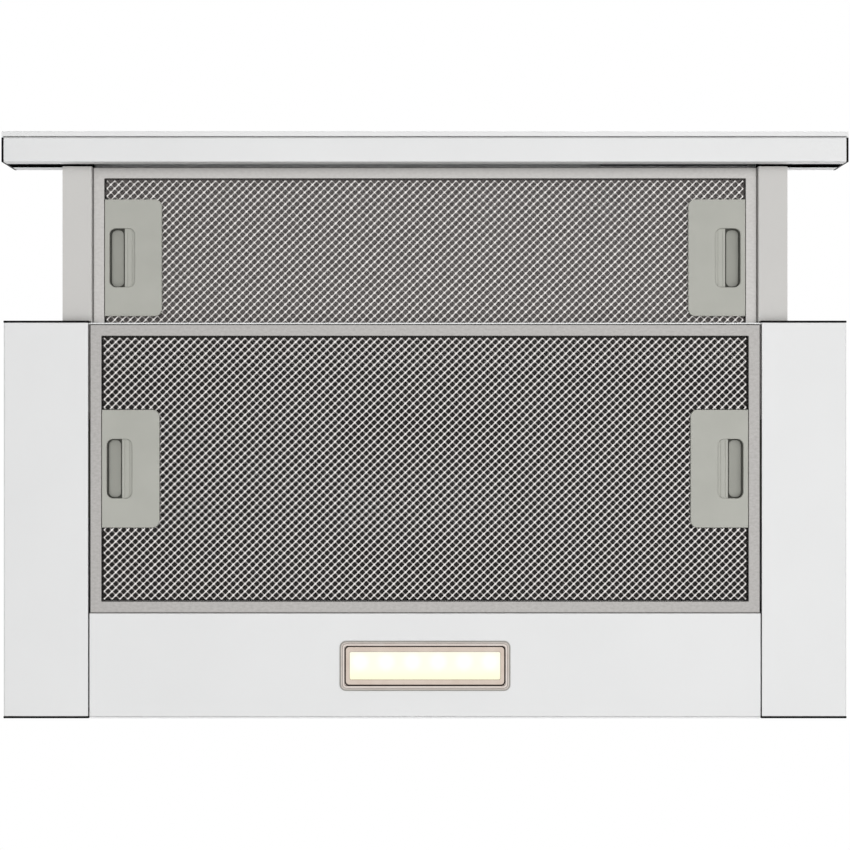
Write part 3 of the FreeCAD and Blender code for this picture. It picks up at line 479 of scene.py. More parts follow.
def makeWing(side, name):
    low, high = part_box(name)
    outer = max(low.x, high.x, key=abs)
    moves = [(0, 0, high.z - low.z), (wing["topInner"] * side - outer, 0, 0)]
    piece = foldedSheet(
        name + "_folded", (low.x, high.x, low.y, high.y), low.z,
        [("+x" if side > 0 else "-x", moves)], wing["sheet"], wing["fold"],
    )
    x = wing["screwX"] * side
    for y in (-wing["screwY"], wing["screwY"]):
        cutAway(piece, rod("hole", wing["screwHole"], (x, y, -past), (x, y, past), vertices=24))
    settle(piece, "hood_body", "white_powder_coat", whiteCoat, name)


makeWing(-1, "wing_cover_left")
makeWing(1, "wing_cover_right")

endCap = {
    "thickness": 1.5 * mm, "inner": 239 * mm, "windowOuter": 262.2 * mm,
    "windowZ": (-34.6 * mm, -7.4 * mm), "corner": 0.4 * mm, "edge": 0.06 * mm,
}


def makeEndCaps():  # the drawer's rails pass through a window in each front cap
    low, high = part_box("wing_end_caps")
    inner, (windowLow, windowHigh) = endCap["inner"], endCap["windowZ"]
    caps = []
    for side in (-1, 1):
        x0, x1 = sorted((inner * side, high.x * side))
        a, b = sorted(((inner - past) * side, endCap["windowOuter"] * side))
        for y in (low.y, high.y - endCap["thickness"]):
            rear = y + endCap["thickness"]
            cap = roundedSlab("cap", (x0, y, low.z), (x1, rear, high.z), endCap["corner"])
            if y < 0:
                cutAway(cap, slab("window", (a, y - past, windowLow), (b, rear + past, windowHigh)))
            softenEdges(cap, endCap["edge"], segments=1)
            caps.append(cap)
    caps[0].name = "wing_end_caps_moulded"
    settle(joinAll(*caps), "hood_body", "black_plastic", blackPlastic, "wing_end_caps")


makeEndCaps()
print("wings made")

# The lamp panel and its lamp: a stepped bezel on a gasket whose grey paints the shade of the
# bezel's outer wall, and a lens in a frame ring and a seal
lampPanel = {
    "sheet": 0.7 * mm, "fold": 0.8 * mm, "width": 239 * mm,
    "frontHeight": 10.8 * mm, "lip": 8 * mm, "sideHeight": 5.5 * mm,
}
lamp = {
    "y": 104.15 * mm, "halfLength": 60.75 * mm, "halfWidth": 17.8 * mm, "corner": 4.5 * mm,
    "skirt": 1 * mm, "rim": 3.4 * mm, "ledge": 2.2 * mm, "ledgeZ": (2.4 * mm, 3.4 * mm),
    "seatCorner": 1.6 * mm, "throatCorner": 1.2 * mm, "edge": 0.22 * mm,
    "collar": 0.9 * mm, "collarCorner": 2 * mm, "collarSunk": 0.5 * mm, "clearance": 0.2 * mm,
    "groove": (0.6 * mm, 1.1 * mm), "grooveDepth": 0.7 * mm, "grooveCorners": (3 * mm, 2.6 * mm),
}
gasket = {"reach": 1.1 * mm, "rise": 0.5 * mm, "under": 1 * mm, "corner": 3 * mm}
lens = {"half": (53.6 * mm, 9.85 * mm), "corner": 1.2 * mm, "rise": 0.5 * mm, "edge": 0.4 * mm}
lensRing = {"margin": 4.25 * mm, "rise": 0.3 * mm, "corner": 2.6 * mm, "edge": 0.35 * mm}
lensSeal = {
    "gap": 0.05 * mm, "rise": 0.9 * mm, "corner": 3.2 * mm, "under": 0.6 * mm,
    "holeCorner": 2.2 * mm,
}


def lampSlab(name, margin, z0, z1, radius):  # a slab that stays a margin inside the lamp's outline
    x, y = lamp["halfLength"] - margin, lamp["halfWidth"] - margin
    return roundedSlab(name, (-x, lamp["y"] - y, z0), (x, lamp["y"] + y, z1), radius)


def lensSlab(name, z0, z1):
    x, y = lens["half"]
    return roundedSlab(name, (-x, lamp["y"] - y, z0), (x, lamp["y"] + y, z1), lens["corner"])


def makeLampPanel():
    low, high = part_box("lamp_panel")
    half = lampPanel["width"]
    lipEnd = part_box("main_filter_frame")[1].x  # the drawer's rails pass beside the lip
    folds = [
        ("-y", [(0, 0, lampPanel["frontHeight"]), (0, -lampPanel["lip"], 0)], lipEnd / half),
        ("+y", [(0, 0, high.z - low.z)]),
        ("-x", [(0, 0, lampPanel["sideHeight"])]),
        ("+x", [(0, 0, lampPanel["sideHeight"])]),
    ]
    piece = foldedSheet(
        "lamp_panel_folded", (-half, half, low.y + lampPanel["lip"], high.y), low.z, folds,
        lampPanel["sheet"], lampPanel["fold"],
    )
    margin = lamp["rim"] - lamp["collar"] - lamp["clearance"]
    cutAway(piece, lampSlab("hole", margin, low.z - past, low.z + past, lamp["collarCorner"]))
    settle(piece, "hood_body", "white_powder_coat", whiteCoat, "lamp_panel")


def makeLampBezel():
    low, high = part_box("lamp_bezel")
    under, skirt, top = low.z - past, low.z + lamp["skirt"], high.z + past
    reach, rim = gasket["reach"], lamp["rim"]
    # a real gasket, its grey standing in for the shade of the bezel's outer wall
    pad = lampSlab("lamp_gasket", 0, low.z + gasket["rise"], skirt, lamp["corner"])
    cutAway(pad, lampSlab("hole", reach + gasket["under"], under, top, gasket["corner"]))
    settle(pad, "hood_body", "black_plastic", gasketShadeRubber, "lamp_bezel")
    piece = lampSlab("lamp_bezel_stepped", reach, low.z, skirt, lamp["corner"] - reach)
    weldOn(piece, lampSlab(
        "collar", rim - lamp["collar"], skirt - lamp["collarSunk"], high.z, lamp["collarCorner"]
    ))
    ledgeLow, ledgeHigh = (low.z + rise for rise in lamp["ledgeZ"])
    cutAway(
        piece,
        lampSlab("seat", rim, under, ledgeLow, lamp["seatCorner"]),
        lampSlab("throat", rim + lamp["ledge"], low.z, top, lamp["throatCorner"]),
        lampSlab("upper", rim, ledgeHigh, top, lamp["seatCorner"]),
    )
    outside, inside = (reach + margin for margin in lamp["groove"])
    wide, narrow = lamp["grooveCorners"]
    groove = lampSlab("groove", outside, under, low.z + lamp["grooveDepth"], wide)
    cutAway(groove, lampSlab("island", inside, under - past, low.z + past, narrow))
    cutAway(piece, groove)
    softenEdges(piece, lamp["edge"], angle=50)
    settle(piece, "hood_body", "lamp_bezel_metal", bezelMetal, "lamp_bezel")


def makeLens():
    low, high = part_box("lamp_lens")
    under, top = low.z - past, high.z + past
    margin = lensRing["margin"]
    ring = lampSlab(
        "lens_frame_pressed", margin, low.z + lensRing["rise"], high.z, lensRing["corner"]
    )
    cutAway(ring, lensSlab("hole", under, top))
    softenEdges(ring, lensRing["edge"], segments=3, angle=50)
    settle(ring, "hood_body", "lamp_bezel_metal", ringMetal, "lamp_lens")
    seal = lampSlab(
        "lens_seal", lamp["rim"] + lensSeal["gap"], low.z + lensSeal["rise"], high.z,
        lensSeal["corner"],
    )
    cutAway(seal, lampSlab("hole", margin + lensSeal["under"], under, top, lensSeal["holeCorner"]))
    settle(seal, "hood_body", "black_plastic", sealRubber, "lamp_lens")
    piece = lensSlab("lamp_lens_frosted", low.z + lens["rise"], high.z)
    softenEdges(piece, lens["edge"], segments=3)
    settle(piece, "hood_body", "frosted_lens", frostedLens("frosted lens", lamp["y"]), "lamp_lens")


makeLampPanel()
makeLampBezel()
makeLens()
dress(boardMask, 0, "led_board")
dress(whiteCoat, 0.25 * mm, "front_sill")
print("lamp made")

# Front trim, its end caps with their foam plugs, which paint the shade inside the channel matt
# black, and the fascia with five push buttons
trim = {
    "sheet": 1 * mm, "fold": 1.1 * mm, "upperLip": 13.5 * mm, "lowerLip": 10 * mm,
    "windowX": (126.2 * mm, 233.8 * mm), "windowZ": (-34.2 * mm, -20.8 * mm),
}
trimCap = {"corner": 0.4 * mm, "edge": 0.1 * mm}
foam = {
    "inner": 239.4 * mm, "front": 8 * mm, "rear": -253.6 * mm, "z": (-37.8 * mm, -19.6 * mm),
    "edge": 0.3 * mm,
}
fascia = {
    "frontEdge": 1 * mm, "edge": 0.25 * mm, "seam": 0.7 * mm, "seamLip": 0.2 * mm,
    "seamDepth": 5 * mm,
}
button = {
    "names": ("light", "off", "low", "medium", "high"), "width": 14 * mm, "height": 9 * mm,
    "corner": 1.5 * mm, "gap": 0.35 * mm, "flange": 1.2 * mm, "edge": 0.5 * mm,
    "markDepth": 0.3 * mm, "markLine": 0.7 * mm, "markLength": 4.2 * mm, "markPitch": 1.8 * mm,
    "markRings": (1.9 * mm, 1.3 * mm), "inlay": 0.05 * mm,
}


def makeTrim():
    low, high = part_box("trim_channel")
    folds = [
        ("-y", [(0, 0, high.z - low.z), (0, high.y - low.y, 0), (0, 0, -trim["upperLip"])]),
        ("+y", [(0, 0, trim["lowerLip"])]),
    ]
    piece = foldedSheet(
        "trim_channel_folded", (low.x, high.x, low.y, high.y), low.z, folds,
        trim["sheet"], trim["fold"],
    )
    (x0, x1), (z0, z1) = trim["windowX"], trim["windowZ"]
    cutAway(piece, slab("window", (x0, low.y - past, z0), (x1, low.y + past, z1)))
    settle(piece, "drawer", "white_powder_coat", whiteCoat, "trim_channel")


def makeTrimCap(side, name):
    low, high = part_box(name)
    piece = roundedSlab(name + "_moulded", low, high, trimCap["corner"], axis=0, segments=4)
    softenEdges(piece, trimCap["edge"], segments=1, angle=60)
    settle(piece, "drawer", "black_plastic", blackPlastic, name)
    # A matt black plug at each end of the channel: painted shade where the channel's inside is dark
    x0, x1 = sorted((foam["inner"] * side, (low.x + high.x) / 2))
    z0, z1 = foam["z"]
    plug = slab(name + "_foam", (x0, low.y + foam["front"], z0), (x1, foam["rear"], z1))
    softenEdges(plug, foam["edge"], angle=60)
    settle(plug, "drawer", "black_plastic", shadeFoam, name)


def keySlab(name, box, grown, y0, y1):  # as wide and high as a button's key, or a gap wider
    x, z = (box[0].x + box[1].x) / 2, (box[0].z + box[1].z) / 2
    halfX, halfZ = button["width"] / 2 + grown, button["height"] / 2 + grown
    low, high = (x - halfX, y0, z - halfZ), (x + halfX, y1, z + halfZ)
    return roundedSlab(name, low, high, button["corner"], axis=1)


def makeFascia():
    low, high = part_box("fascia")
    piece = slab("fascia_pressed", low, high)
    front = low.y + tiny
    bevelWhere(
        piece, "EDGE", lambda centre, run: centre.y < front, fascia["frontEdge"], segments=5
    )
    for name in button["names"]:
        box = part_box("button_" + name)
        cutAway(piece, keySlab("hole", box, button["gap"], low.y - past, high.y + past))
    seamRear = high.y - fascia["seamLip"]
    cutAway(piece, slab(
        "seam", (low.x - past, seamRear - fascia["seam"], low.z - past),
        (high.x + past, seamRear, low.z + fascia["seamDepth"]),
    ))
    softenEdges(piece, fascia["edge"], angle=60)
    settle(piece, "drawer", "fascia_white", fasciaCoat, "fascia")


def makeMark(n, x, y, z):  # plain marks: a ring for the light, a nought, then one to three bars
    depth, line, length = button["markDepth"], button["markLine"], button["markLength"]
    if n < 2:
        outer = button["markRings"][n]
        mark = rod("mark", outer, (x, y - depth, z), (x, y + depth, z))
        cutAway(mark, rod("eye", outer - line, (x, y - past, z), (x, y + past, z)))
        return mark
    bars = []
    for k in range(n - 1):
        barX = x + (k - (n - 2) / 2) * button["markPitch"]
        bars.append(slab(
            "mark", (barX - line / 2, y - depth, z - length / 2),
            (barX + line / 2, y + depth, z + length / 2),
        ))
    return joinAll(*bars)


def makeButton(n, name):
    low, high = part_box("button_" + name)
    x, z = (low.x + high.x) / 2, (low.z + high.z) / 2
    flangeFront = high.y - button["flange"]
    piece = keySlab(name + "_key", (low, high), 0, low.y, flangeFront)
    bevelWhere(
        piece, "FACE", lambda centre, normal: normal.y < -mostly, button["edge"], segments=3
    )
    joinAll(piece, roundedSlab(
        "flange", (low.x, flangeFront, low.z), (high.x, high.y, high.z), button["corner"], axis=1
    ))
    cutAway(piece, makeMark(n, x, low.y, z))
    inlay = makeMark(n, x, low.y + button["markDepth"] + button["inlay"], z)
    inlay.name = name + "_mark"
    settle(piece, name + "_button", "button_plastic", buttonPlastic, "button_" + name)
    settle(inlay, name + "_button", "black_plastic", greyPlastic)


makeTrim()
makeTrimCap(-1, "trim_cap_left")
makeTrimCap(1, "trim_cap_right")
makeFascia()
for n, name in enumerate(button["names"]):
    makeButton(n, name)
dress(greyPlastic, 0.3 * mm, "control_box")
print("front made")

# Drawer rails, top panel, crossbar and glides
rail = {"sheet": 1.2 * mm, "fold": 0.7 * mm, "setback": 1.1 * mm}
topPanel = {"sheet": 1 * mm, "fold": 0.9 * mm}


def makeRail(side, name):
    low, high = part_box(name)
    moves = [(0, 0, high.z - low.z), ((high.x - low.x) * side, 0, 0)]
    piece = foldedSheet(
        name + "_folded", (low.x, high.x, low.y + rail["setback"], high.y), low.z,
        [("-x" if side > 0 else "+x", moves)], rail["sheet"], rail["fold"],
    )
    settle(piece, "drawer", "rail_paint", railPaint, name)


def makeTopPanel():
    low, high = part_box("drawer_top_panel")
    drop = (0, 0, low.z - high.z)
    piece = foldedSheet(
        "drawer_top_panel_folded", (low.x, high.x, low.y, high.y), high.z,
        [(side, [drop]) for side in ("-y", "-x", "+x")], topPanel["sheet"], topPanel["fold"],
        growth=-1,
    )
    settle(piece, "drawer", "white_powder_coat", whiteCoat, "drawer_top_panel")


makeRail(-1, "drawer_rail_left")
makeRail(1, "drawer_rail_right")
makeTopPanel()
dress(whiteCoat, 0.25 * mm, "drawer_crossbar")
dress(naturalNylon, 0.4 * mm, "drawer_glides", "rail_glides")
print("drawer made")

# Filter cassettes: folded frames, layered nets, latches
cassette = {
    "sheet": 0.5 * mm, "border": 8.25 * mm, "fold": 0.6 * mm, "hem": 2.2 * mm, "hemTurn": 2.6 * mm,
    "slotHalf": 36.4 * mm, "slotHeight": 2.7 * mm, "slotReach": 1.5 * mm, "hemGapHalf": 39 * mm,
    "hemGapOver": 1 * mm, "snug": Vector((0.3 * mm, 0.15 * mm, 0)),
}


def makeFrame(name, body, material):
    low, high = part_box(name)
    centre = (low + high) / 2
    size = high - low + 2 * cassette["snug"]
    border, hem, turn = cassette["border"], cassette["hem"], cassette["hemTurn"]
    innerX, innerY = size.x / 2 - border, size.y / 2 - border
    bpy.ops.mesh.primitive_plane_add(size=1, location=(centre.x, centre.y, low.z))
    bpy.context.object.scale = (size.x, size.y, 1)
    piece = named(name + "_folded")
    pick(piece, "FACE", lambda middle, normal: True)
    bpy.ops.mesh.inset(thickness=border)
    bpy.ops.mesh.delete(type="FACE")
    leaveEdit()

    def foldOver(height, factorX, factorY):  # the picked edges go up, and then flat in or out
        bpy.ops.mesh.extrude_region_move(TRANSFORM_OT_translate={"value": (0, 0, height)})
        bpy.ops.mesh.extrude_region_move(TRANSFORM_OT_translate={"value": (0, 0, 0)})
        bpy.ops.transform.resize(
            value=(factorX, factorY, 1), center_override=(centre.x, centre.y, low.z + height)
        )

    def outer(middle, run):
        reach = abs(middle.x - centre.x) - size.x / 2, abs(middle.y - centre.y) - size.y / 2
        return max(reach) > -tiny

    pick(piece, "EDGE", outer)
    foldOver(size.z, 1 - 2 * border / size.x, 1 - 2 * border / size.y)
    leaveEdit()

    def inner(middle, run):
        x, y = abs(middle.x - centre.x), abs(middle.y - centre.y)
        byX, byY = abs(x - innerX) < tiny and y < tiny, abs(y - innerY) < tiny and x < tiny
        return (byX or byY) and abs(middle.z - low.z) < tiny

    pick(piece, "EDGE", inner)
    foldOver(hem, 1 + turn / innerX, 1 + turn / innerY)
    bpy.ops.mesh.select_all(action="SELECT")
    bpy.ops.mesh.remove_doubles(threshold=tiny)
    leaveEdit()
    softenEdges(piece, cassette["fold"], segments=3, angle=30)
    modify(piece, "SOLIDIFY", thickness=cassette["sheet"], offset=1, use_even_offset=True)
    z0 = low.z + cassette["sheet"]
    z1 = z0 + cassette["slotHeight"]
    edge, over = size.x / 2, cassette["hemGapOver"]
    cuts = [  # the bolts' slots, and the gaps that leave the bolts room in the hem
        ("slot", edge - cassette["slotReach"], edge + past, cassette["slotHalf"]),
        ("hemGap", innerX - over, innerX + turn + over, cassette["hemGapHalf"]),
    ]
    for side in (-1, 1):
        for cut, near, far, half in cuts:
            x0, x1 = sorted((near * side, far * side))
            cutAway(piece, slab(cut, (x0, centre.y - half, z0), (x1, centre.y + half, z1)))
    settle(piece, body, "filter_aluminium", material, name)


latch = {
    "width": 41 * mm, "floor": 1.5 * mm, "wall": 1.5 * mm, "corner": 5 * mm, "edge": 0.5 * mm,
    "slotEdge": 3.5 * mm, "slotWidth": 18 * mm, "slotLength": 42.2 * mm, "slotCorner": 4.5 * mm,
    "slotRim": 0.6 * mm, "overlap": 0.5 * mm,
}
well = {
    "ledge": 7.3 * mm, "darkGap": 1.3 * mm, "gap": 0.7 * mm, "drop": 3.2 * mm, "sheet": 0.6 * mm,
    "corner": 3.6 * mm, "edge": 0.2 * mm,
}
# the dark slab of painted shadow behind each latch slot
backing = {"over": 1.5 * mm, "drop": (0.6 * mm, 0.1 * mm), "corner": 3 * mm, "edge": 0.1 * mm}
bolt = {
    "sheet": 2 * mm, "ledge": 13 * mm, "bar": 4.8 * mm, "windowHalf": 22 * mm, "edge": 0.2 * mm,
    "grooves": (2.2 * mm, 5.6 * mm), "grooveWidth": 0.5 * mm, "grooveDepth": 0.35 * mm,
    "grooveHalf": 20 * mm, "rib": 1.5 * mm, "ribHalf": 21.1 * mm, "ribSunk": 0.2 * mm,
    "tongue": 6.5 * mm, "tongueSunk": 0.5 * mm, "tongueInset": 3 * mm, "tongueSlope": 1 * mm,
}
net = {
    "pitch": (5.6 * mm, 5.47 * mm), "width": 0.88 * mm, "cross": 0.86 * mm, "inner": 1.4 * mm,
    "node": 1.05, "nodeRise": 1.15, "thickness": 0.5 * mm, "edgeGap": 1.25 * mm, "pieces": 4,
    "wobble": 0.09 * mm, "over": 0.3 * mm, "face": 0.55 * mm, "backing": 1.75 * mm,
    "shift": (0.4, 0.1), "seeds": (3, 4),
}


def makeStrand(name, cell, width, slope, height, material):  # a cell's diagonal, open at its ends
    px, py = cell
    half, thickness = math.hypot(px, py) / 2, net["thickness"]
    strand = slab(name, (-half, -width / 2, height), (half, width / 2, height + thickness))
    strand.data.materials.append(material)
    pick(strand, "EDGE", lambda centre, run: abs(run.x) > mostly)
    bpy.ops.mesh.subdivide(number_cuts=net["pieces"] - 1)
    leaveEdit()
    pick(strand, "FACE", lambda centre, normal: abs(normal.x) > mostly)
    bpy.ops.mesh.delete(type="ONLY_FACE")
    leaveEdit()
    pick(strand, "VERT", lambda place, normal: abs(place.x) < tiny or abs(place.x) > half - tiny)
    bpy.ops.transform.resize(
        value=(1, net["node"], net["nodeRise"]), center_override=(0, 0, height + thickness / 2)
    )
    bpy.ops.mesh.select_all(action="SELECT")
    bpy.ops.transform.rotate(
        value=math.atan2(py, px) * slope, orient_axis="Z", center_override=(0, 0, 0)
    )
    leaveEdit()
    return strand


def makeLayer(name, corner, cell, counts, z, strands, wobble, seed):
    px, py = cell
    (width, material), (crossWidth, crossMaterial) = strands
    layer = makeStrand(name, cell, width, 1, z, material)
    joinAll(layer, makeStrand("crossing", cell, crossWidth, -1, z + net["over"], crossMaterial))
    pick(layer, "VERT", lambda place, normal: True)
    bpy.ops.transform.translate(value=(corner[0] + px / 2, corner[1] + py / 2, 0))
    leaveEdit()
    for count, step in zip(counts, ((px, 0, 0), (0, py, 0))):
        modify(layer, "ARRAY", count=count, use_relative_offset=False, use_constant_offset=True,
               constant_offset_displace=step)
    pick(layer, "VERT", lambda place, normal: True)
    bpy.ops.mesh.remove_doubles(threshold=2 * tiny)
    bpy.ops.transform.vertex_random(offset=wobble, seed=seed)
    leaveEdit()
    return layer


def clearLatches(layer, plates, corner, cell):  # leaves out what the latch plates take up
    steps = [size / net["pieces"] for size in cell]
    radius = latch["corner"]

    def covered(centre, normal):  # by the middle of a strand's piece, so its sides go together
        x, y = (
            start + (math.floor((value - start) / step) + 0.5) * step
            for value, start, step in zip(centre, corner, steps)
        )
        for low, high in plates:
            if low.x < x < high.x and low.y < y < high.y:
                inner = min(abs(low.x), abs(high.x)) + radius
                beyondX = max(inner - abs(x), 0)
                beyondY = max(low.y + radius - y, y - high.y + radius, 0)
                return math.hypot(beyondX, beyondY) < radius
        return False

    pick(layer, "FACE", covered)
    bpy.ops.mesh.delete(type="FACE")
    bpy.ops.mesh.select_all(action="SELECT")
    bpy.ops.mesh.fill_holes(sides=0)
    leaveEdit()


def makeNet(name, body, inner):
    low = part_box(name)[0]
    frameLow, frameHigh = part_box(name.replace("net", "frame"))
    plate = name.replace("filter_net", "latch_plate_")
    plates = [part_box(plate + side) for side in ("left", "right")]
    margin = cassette["border"] + net["edgeGap"]
    inLow = [frameLow[axis] + margin for axis in (0, 1)]
    room = [frameHigh[axis] - margin - inLow[axis] for axis in (0, 1)]
    counts = [round(room[axis] / net["pitch"][axis]) for axis in (0, 1)]
    cell = [room[axis] / counts[axis] for axis in (0, 1)]
    # bright and shaded are lit and painted-shade copies of one aluminium; the crossing strands lie
    # behind
    bright = stretchedMetal(name + " lit strands with painted highlights", inLow, cell, "#B6B3B1", "#918E8C")
    shaded = stretchedMetal(name + " strands in painted shade", inLow, cell, "#9E9B99", "#5F5C5A")
    backLow = [inLow[axis] - cell[axis] * (1 - net["shift"][axis]) for axis in (0, 1)]
    outerStrands = ((net["width"], bright), (net["cross"], shaded))
    innerStrands = ((net["inner"], inner),) * 2
    faceSeed, backingSeed = net["seeds"]
    layers = [
        ("face", inLow, counts, outerStrands, net["wobble"], faceSeed),
        ("backing", backLow, [count + 1 for count in counts], innerStrands, 0, backingSeed),
    ]
    for word, corner, cells, strands, wobble, seed in layers:
        z = low.z + net[word]
        layer = makeLayer(name + "_" + word, corner, cell, cells, z, strands, wobble, seed)
        clearLatches(layer, plates, corner, cell)
        settle(layer, body, "net_aluminium", None, name)


makeFrame("main_filter_frame", "main_filter", frameAluminium)
makeFrame("drawer_filter_frame", "drawer", litDrawerAluminium)
makeNet("main_filter_net", "main_filter", shadedInnerAluminium)
makeNet("drawer_filter_net", "drawer", palerShadedAluminium)
print("filters made")


def sideSlab(side, name, x, y, z, radius=0):  # a slab given as it lies at the right
    x0, x1 = sorted(place * side for place in x)
    low, high = (x0, y[0], z[0]), (x1, y[1], z[1])
    return roundedSlab(name, low, high, radius) if radius else slab(name, low, high)


def makeLatchPlate(side, name, body):
    low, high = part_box(name)
    inner, far = sorted((abs(low.x), abs(high.x)))
    outer = inner + latch["width"]
    middle, half, wall = (low.y + high.y) / 2, latch["slotLength"] / 2, latch["wall"]
    floor, ceiling = low.z + latch["floor"], high.z - wall
    slotOuter = outer - latch["slotEdge"]
    slotInner = slotOuter - latch["slotWidth"]
    piece = sideSlab(side, name + "_moulded", (inner, outer), (low.y, high.y), (low.z, high.z))
    bevelWhere(piece, "EDGE", lambda centre, run: (
        abs(run.z) > mostly and abs(centre.x) < inner + tiny
    ), latch["corner"], segments=6)
    bevelWhere(
        piece, "FACE", lambda centre, normal: normal.z < -mostly, latch["edge"], segments=3
    )
    cutAway(
        piece,
        sideSlab(side, "room", (inner + wall, outer + past), (low.y + wall, high.y - wall),
                 (floor, ceiling)),
        sideSlab(side, "slot", (slotInner, slotOuter), (middle - half, middle + half),
                 (low.z - past, floor + past), latch["slotCorner"]),
    )
    bevelWhere(piece, "EDGE", lambda centre, run: (
        slotInner - tiny < abs(centre.x) < slotOuter + tiny
        and abs(centre.y - middle) < half + tiny and abs(centre.z - low.z) < tiny
    ), latch["slotRim"], segments=3)
    # The well's floor: grey darkened as painted shade in the pocket
    gap, wellLow = well["gap"], high.z - well["drop"]
    bottom = sideSlab(
        side, name + "_well", (slotInner + well["ledge"] + well["darkGap"], slotOuter - gap),
        (middle - half + gap, middle + half - gap), (wellLow, wellLow + well["sheet"]),
        well["corner"],
    )
    softenEdges(bottom, well["edge"])
    settle(bottom, body, "latch_plastic", wellShadePlastic, name)
    # A dark slab behind the slot, painted shadow: it shows as dark gaps beside the bolt and along
    # the slot's rim
    over = backing["over"]
    shadowSlab = sideSlab(
        side, name + "_backing", (slotInner - over, slotOuter + over),
        (middle - half - over, middle + half + over), [ceiling - drop for drop in backing["drop"]],
        backing["corner"],
    )
    softenEdges(shadowSlab, backing["edge"])
    settle(shadowSlab, body, "latch_plastic", shadowPlastic, name)
    weldOn(piece, sideSlab(
        side, "tail", (outer - latch["overlap"], far), (low.y, high.y), (ceiling, high.z)
    ))
    settle(piece, body, "latch_plastic", latchPlastic, name)


def makeLatchBolt(side, name, body):
    low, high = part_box(name)
    inner, tip = sorted((abs(low.x), abs(high.x)))
    middle, top = (low.y + high.y) / 2, low.z + bolt["sheet"]
    ledge, shoulder = inner + bolt["ledge"], tip - bolt["tongue"]
    through = (low.z - past, top + past)

    def along(half):
        return (middle - half, middle + half)

    piece = sideSlab(side, name + "_moulded", (inner, shoulder), (low.y, high.y), (low.z, top))
    cutAway(piece, sideSlab(
        side, "window", (ledge, shoulder - bolt["bar"]), along(bolt["windowHalf"]), through
    ))
    for back in bolt["grooves"]:
        cutAway(piece, sideSlab(
            side, "groove", (ledge - back, ledge - back + bolt["grooveWidth"]),
            along(bolt["grooveHalf"]), (low.z - past, low.z + bolt["grooveDepth"]),
        ))
    inset = bolt["tongueInset"]
    # The tongue is dark as painted shade, so the gap where it lies beside the frame reads dark
    tongue = sideSlab(
        side, name + "_tongue", (shoulder - bolt["tongueSunk"], tip),
        (low.y + inset, high.y - inset), (low.z, top),
    )
    bevelWhere(tongue, "EDGE", lambda centre, run: (
        abs(run.y) > mostly and abs(centre.x) > tip - tiny and centre.z > top - tiny
    ), bolt["tongueSlope"], segments=3)
    settle(tongue, body, "latch_plastic", tongueShadePlastic, name)
    weldOn(piece, sideSlab(
        side, "rib", (ledge - bolt["rib"], ledge), along(bolt["ribHalf"]),
        (top - bolt["ribSunk"], high.z),
    ))
    softenEdges(piece, bolt["edge"], angle=50)
    settle(piece, body, "latch_plastic", latchPlastic, name)


for family, carrier in (("main", "main_filter"), ("drawer", "drawer")):
    for side, word in ((-1, "left"), (1, "right")):
        makeLatchPlate(side, family + "_latch_plate_" + word, carrier)
        makeLatchBolt(side, family + "_latch_bolt_" + word, family + "_bolt_" + word)
dress(zincPlate, 0, "main_latch_springs", "drawer_latch_springs")
print("latches made")

# The housing: bent galvanised sheets with pressed stiffening grooves, held by cross recess screws
housing = {
    "sheet": 1 * mm, "fold": 1.2 * mm, "edge": 0.25 * mm, "within": 238.6 * mm, "overlap": 0.2 * mm,
    "groove": 9.5 * mm, "grooveDepth": 0.7 * mm, "grooveSlope": 1.2 * mm, "grooveOver": 0.1 * mm,
    "grooveSquare": 0.05 * mm, "wallMargin": 28 * mm, "wallGrooves": (42 * mm, 92 * mm),
    "lidMargin": 34 * mm, "lidGrooves": (104 * mm, 142 * mm), "deckLip": 6 * mm, "strip": 1.5 * mm,
}


def pressGroove(piece, low, high, axis, deep):  # with round ends and sloping sides
    half = housing["groove"] / 2 - housing["grooveSquare"]
    tool = roundedSlab("groove", low, high, half, axis)
    pick(tool, "FACE", lambda centre, normal: abs(centre[axis] - deep) < tiny)
    factors = [1 - 2 * housing["grooveSlope"] / (b - a) for a, b in zip(low, high)]
    factors[axis] = 1
    bpy.ops.transform.resize(
        value=factors, center_override=[(a + b) / 2 for a, b in zip(low, high)]
    )
    leaveEdit()
    cutAway(piece, tool)


def makeWall(name, low, high, axis, outside):  # axis is across the wall, outside is its outer side
    piece = slab(name, low, high)
    face = high[axis] if outside > 0 else low[axis]
    deep = face - outside * housing["grooveDepth"]
    near, far = sorted((deep, face + outside * housing["grooveOver"]))
    half, margin, along = housing["groove"] / 2, housing["wallMargin"], 1 - axis
    for z in housing["wallGrooves"]:
        grooveLow, grooveHigh = [0, 0, z - half], [0, 0, z + half]
        grooveLow[along], grooveHigh[along] = low[along] + margin, high[along] - margin
        grooveLow[axis], grooveHigh[axis] = near, far
        pressGroove(piece, grooveLow, grooveHigh, axis, deep)
    softenEdges(piece, housing["edge"], angle=50)
    return piece


